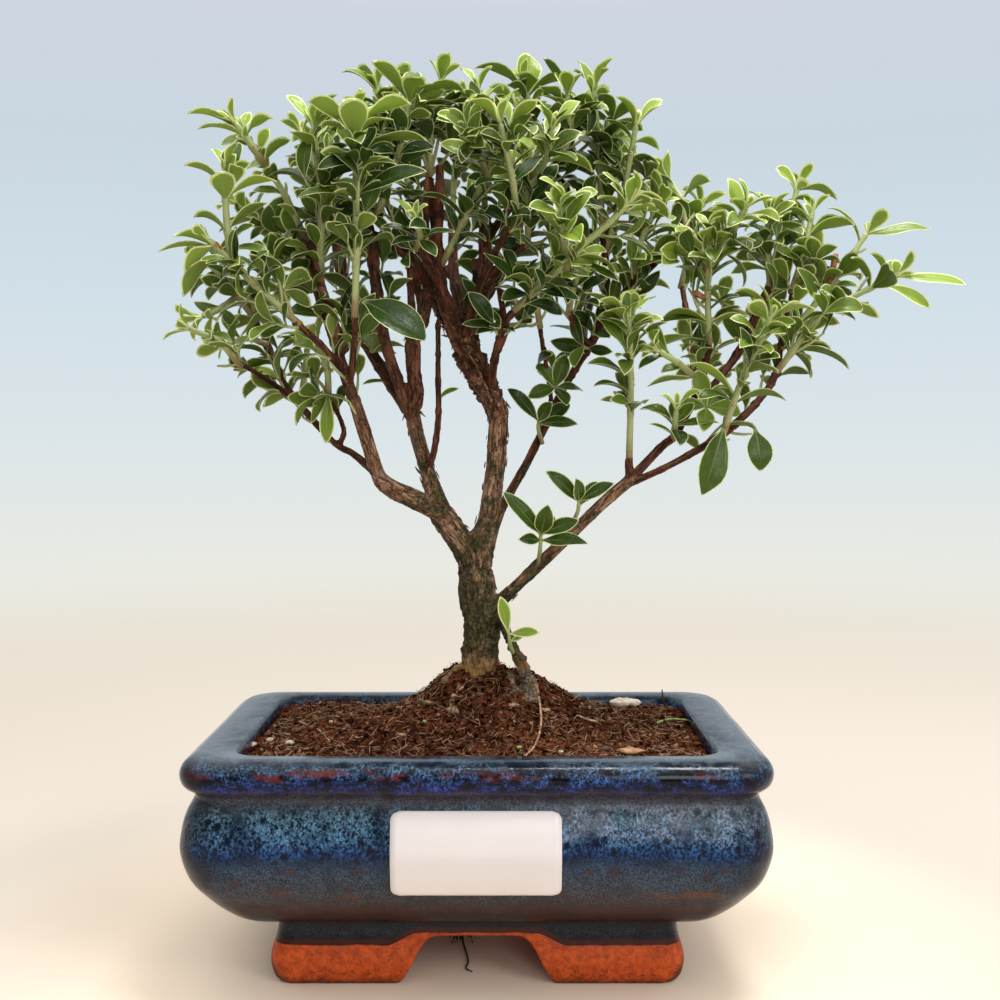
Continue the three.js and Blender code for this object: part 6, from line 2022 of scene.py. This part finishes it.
def grow_shoot(name, stems, given, ruled, rng, girth=0.82):
    """One leafy shoot: its stems, the given leaves, the part's rule leaves, twigs and tip leaves."""
    shape = Shape()
    youth = YOUTH_OF_LARGE.get(name, 0.07)
    share_of_size = SIZE_OF_LEAVES.get(name, 1)
    with_twigs = share_of_size > SMALLEST_WITH_TWIGS
    leaves = [
        (*leaf_between(np.array(row[:3]), np.array(row[3:6]), row[6]), youth + rng.uniform(-0.07, 0.07))
        for row in given
    ]
    regular, filling = [], []
    curves = [StemCurve(stem) for stem in stems]
    for curve in curves:
        rule = leaf_rule(curve, ruled) if ruled else []
        nodes = [curve.length - leaf[BELOW_TIP] for leaf in rule[::2]]
        add_stem(shape, curve, girth * STEM_RADIUS, girth * STEM_TIP_RADIUS, nodes, root=2.5)
        for base, along, up, size, bend, below, pair, axis, radial in rule:
            size *= share_of_size
            length = 1.04 * LEAF_LENGTH * size
            width = 0.95 * LEAF_WIDTH_RATIO * length
            regular.append((base, along, up, length, width, bend, youth_at(below, rng)))
            if rng.random() < (0.2 if pair == 0 else 0.7) and with_twigs:
                add_twig(shape, filling, base, axis, radial, below, rng)
        if with_twigs:
            add_fillings(shape, filling, curve, rule, rng)
        if rule:
            leaves += tip_leaves(curve, share_of_size, rng)
    sighted = sighted_leaves(name, np.vstack([curve.line for curve in curves]))
    for leaf in sighted:
        if regular:  # a sighted leaf takes the place of the nearest rule leaf
            apart = [np.linalg.norm(leaf_tip(other) - leaf_tip(leaf)) for other in regular]
            del regular[int(np.argmin(apart))]
    add_leaves(shape, leaves + sighted + regular + kept_in_crown(filling), rng)
    shape.piece(f"leafy_{name}", [STEM, LEAF_TOP, LEAF_UNDER], "leaf_and_stem", [f"shoot_{name}"])


def add_tuft(shape, leaves, root, middle, rng):
    """Twig from the wood to a place, with five leaves round its end."""
    bow = (root + middle) / 2 + rng.normal(0, 0.8, 3)
    curve = StemCurve([root, bow, middle])
    line = [curve.point(share * curve.length) for share in (0, 0.3, 0.6, 1)]
    tube(shape, line, (0.7, 0.6, 0.6, 0.4), 5, (0, FAR_FROM_WOOD, 0.3, 0.2))
    axis = unit(0.5 * curve.tangent(curve.length - 0.1) + np.array([0, 0, 0.8]) + rng.normal(0, 0.25, 3))
    turn = rng.uniform(0, 2 * math.pi)
    for number in range(5):
        along, up = spread_blade(axis, square_to(axis, turn + number * 1.3), rng.uniform(0.7, 1.2))
        size = rng.uniform(9.5, 13.5)
        width, bend = size * rng.uniform(0.42, 0.52), rng.uniform(0.3, 1.0)
        leaves.append((middle, along, up, size, width, bend, rng.uniform(0, 0.25)))


def make_inner_leaves():
    """Short leafy twigs straight from the upper wood, which fill the crown between the shoots."""
    rng = np.random.default_rng(41)
    samples = branch_samples()
    shape, leaves = Shape(), []
    for number, name in enumerate(BRANCHES):
        first = LEAFY_FROM.get(name, LEAFY_HEIGHT)
        next_at = 0.0
        for row in samples[samples[:, BRANCH] == number]:
            bare = row[HEIGHT] < first or row[RADIUS] > THICKEST_LEAFY_WOOD
            if bare or row[ALONG] < next_at:
                continue
            next_at = row[ALONG] + rng.uniform(5.0, 9.5)
            axis = row[HEADING]
            turn = rng.uniform(0, math.pi)
            for twin in range(2):
                if rng.random() < 0.65:
                    radial = square_to(axis, turn + twin * math.pi)
                    add_twig(shape, leaves, row[PLACE], axis, radial, rng.uniform(10, 34), rng)
    tufts = []
    high_wood = samples[samples[:, HEIGHT] > LOWEST_WITH_TUFTS][:, PLACE]
    for x, y in FILLING_TUFTS:
        root = nearest_seen(high_wood, x, y)
        add_tuft(shape, tufts, root, seen_at(x, y, root[1] + rng.uniform(-4, 4)), rng)
    add_leaves(shape, kept_in_crown(leaves) + tufts + sighted_leaves("wood", samples[:, PLACE]), rng)
    shape.piece("leafy_inner_twigs", [STEM, LEAF_TOP, LEAF_UNDER], "leaf_and_stem")


def make_shoots():
    ruled = SeededRandom(LEAF_SEED)
    rng = np.random.default_rng(31)
    for name, shoot in LONE_SHOOTS.items():
        grow_shoot(name, [shoot["stem"]], shoot["leaves"], None, rng, girth=0.55)
    for name, stems in SHOOTS.items():
        grow_shoot(name, stems, LARGE_LEAVES.get(name, []), ruled, rng)


# ---- stage --------------------------------------------------------------------------------


FLOOR_HALF_WIDTH = 4  # metres
# Colours of the backdrop from low to high.
BACKDROP = [
    (0.0, (0.90, 0.80, 0.67)), (0.09, (0.91, 0.83, 0.71)), (0.255, (0.84, 0.83, 0.75)),
    (0.43, (0.72, 0.79, 0.81)), (0.59, (0.64, 0.74, 0.81)), (0.755, (0.59, 0.68, 0.75)),
    (0.89, (0.62, 0.67, 0.75)), (1.0, (0.80, 0.79, 0.76)),
]


def floor_material():
    """Pale floor that fades into the backdrop far from the pot; brighter and warmer near the pot, where
    painted light lifts the pot's shadow, and darker further out.
    """
    s = Surface("pale_floor")
    from_pot = s.vector("SUBTRACT", s.place, tuple(POT_MIDDLE / MM))
    distance = s.vector("LENGTH", from_pot, output="Value")
    # Painted light: the floor near the pot is given a brighter, warmer colour than further out, to lift the
    # shade that the pot casts.
    near = s.mix(s.noise(60, 2), (0.77, 0.645, 0.52), (0.80, 0.67, 0.54))
    colour = s.mix(s.band(distance, 85, 215), near, (0.495, 0.447, 0.396))
    shader = s.node("ShaderNodeBsdfDiffuse", {"Color": colour}).outputs[0]
    clear = s.node("ShaderNodeBsdfTransparent").outputs[0]
    mixed = s.node("ShaderNodeMixShader", {0: s.band(distance, 260, 1300), 1: shader, 2: clear}).outputs[0]
    s.output("ShaderNodeOutputMaterial", mixed)
    return s.material


def make_floor():
    half = FLOOR_HALF_WIDTH
    corners = [(-half, -half, 0), (half, -half, 0), (half, half, 0), (-half, half, 0)]
    mesh = bpy.data.meshes.new("floor")
    mesh.from_pydata(corners, [], [(0, 1, 2, 3)])
    mesh.materials.append(floor_material())
    floor = bpy.data.objects.new("floor", mesh)
    bpy.context.scene.collection.objects.link(floor)


def make_backdrop():
    """World colours by height, bright behind the plant and dim behind the camera, so the glaze stays deep."""
    world = bpy.data.worlds.new("backdrop")
    bpy.context.scene.world = world
    world.use_nodes = True
    w = Nodes(world.node_tree)
    direction = w.node("ShaderNodeTexCoord").outputs["Generated"]
    height = w.axis(direction, "Z")
    colour = w.ramp(w.band(height, -0.30, 0.40, curve="LINEAR"), BACKDROP)
    facing = w.band(w.axis(direction, "Y"), -0.5, 0.6, 0.34, 1.0, curve="LINEAR")
    ceiling = w.band(height, 0.35, 0.95, 0.0, 1.9)
    strength = w.plus(facing, ceiling)
    ambient = w.node("ShaderNodeBackground", {"Color": colour, "Strength": strength}).outputs[0]
    seen = w.node("ShaderNodeBackground", {"Color": colour}).outputs[0]
    to_camera = w.node("ShaderNodeLightPath").outputs["Is Camera Ray"]
    mixed = w.node("ShaderNodeMixShader", {0: to_camera, 1: ambient, 2: seen}).outputs[0]
    w.output("ShaderNodeOutputWorld", mixed)


def add_softbox(name, place, target, size, power):
    """Rectangular lamp; places and sizes in metres, power in watts."""
    light = bpy.data.lights.new(name, "AREA")
    light.shape = "RECTANGLE"
    light.size, light.size_y = size
    light.energy = power
    lamp = bpy.data.objects.new(name, light)
    lamp.location = Vector(place)
    lamp.rotation_euler = (Vector(target) - Vector(place)).to_track_quat("-Z", "Y").to_euler()
    bpy.context.scene.collection.objects.link(lamp)


def make_lamps():
    add_softbox("overhead", (0.19, -0.12, 1.08), (0, 0, 0.15), (0.24, 0.30), 7.0)
    add_softbox("front", (0.80, -0.85, 0.70), (0, 0, 0.10), (0.5, 0.5), 4.0)
    add_softbox("sheen", (0.17, -0.87, 0.38), (0.05, -0.06, 0.055), (0.22, 0.30), 1.3)


def make_camera():
    data = bpy.data.cameras.new("camera")
    data.sensor_width = 36
    data.lens = data.sensor_width * FOCAL_PIXELS / PICTURE_SIZE
    data.clip_start = 0.01
    camera = bpy.data.objects.new("camera", data)
    camera.location = Vector(POT_MIDDLE) + Vector(CAMERA_PLACE) * MM
    camera.rotation_euler = (math.pi / 2 - CAMERA_TILT, 0, 0)
    bpy.context.scene.collection.objects.link(camera)
    bpy.context.scene.camera = camera


# ---- the whole object ---------------------------------------------------------------------

# Materials that several pieces share.
PEAT = soil_material("peat", (0.003, 0.0008, 0.0003), (0.135, 0.044, 0.020), (0.42, 0.25, 0.15))
FIBRE = soil_material("peat_fibre", (0.030, 0.009, 0.004), (0.21, 0.078, 0.037), (0.55, 0.35, 0.22))
STEM = stem_material()
LEAF_TOP = leaf_material("leaf_top", (0.012, 0.045, 0.006), (0.34, 0.49, 0.050), 1.0, 0.30)
LEAF_UNDER = leaf_material("leaf_underside", (0.060, 0.125, 0.016), (0.36, 0.49, 0.080), 0.8, 0.45)
SHRED = plain_material("bark_shred", (0.070, 0.022, 0.010), (0.36, 0.19, 0.10), 1.6, 0.85)
DEAD_WOOD = plain_material("dead_wood", (0.16, 0.045, 0.014), (0.46, 0.20, 0.07), 1.2, 0.8)

make_camera()
make_pot()
make_label()
make_soil()
make_crumbs()
make_fibres()
make_litter()
make_drain_roots()
make_wood()
make_bark_shreds()
make_dead_stubs()
make_shoots()
make_inner_leaves()
make_stone_and_flake()
colour_net()
make_floor()
make_backdrop()
make_lamps()
bpy.context.scene.view_settings.view_transform = "Standard"
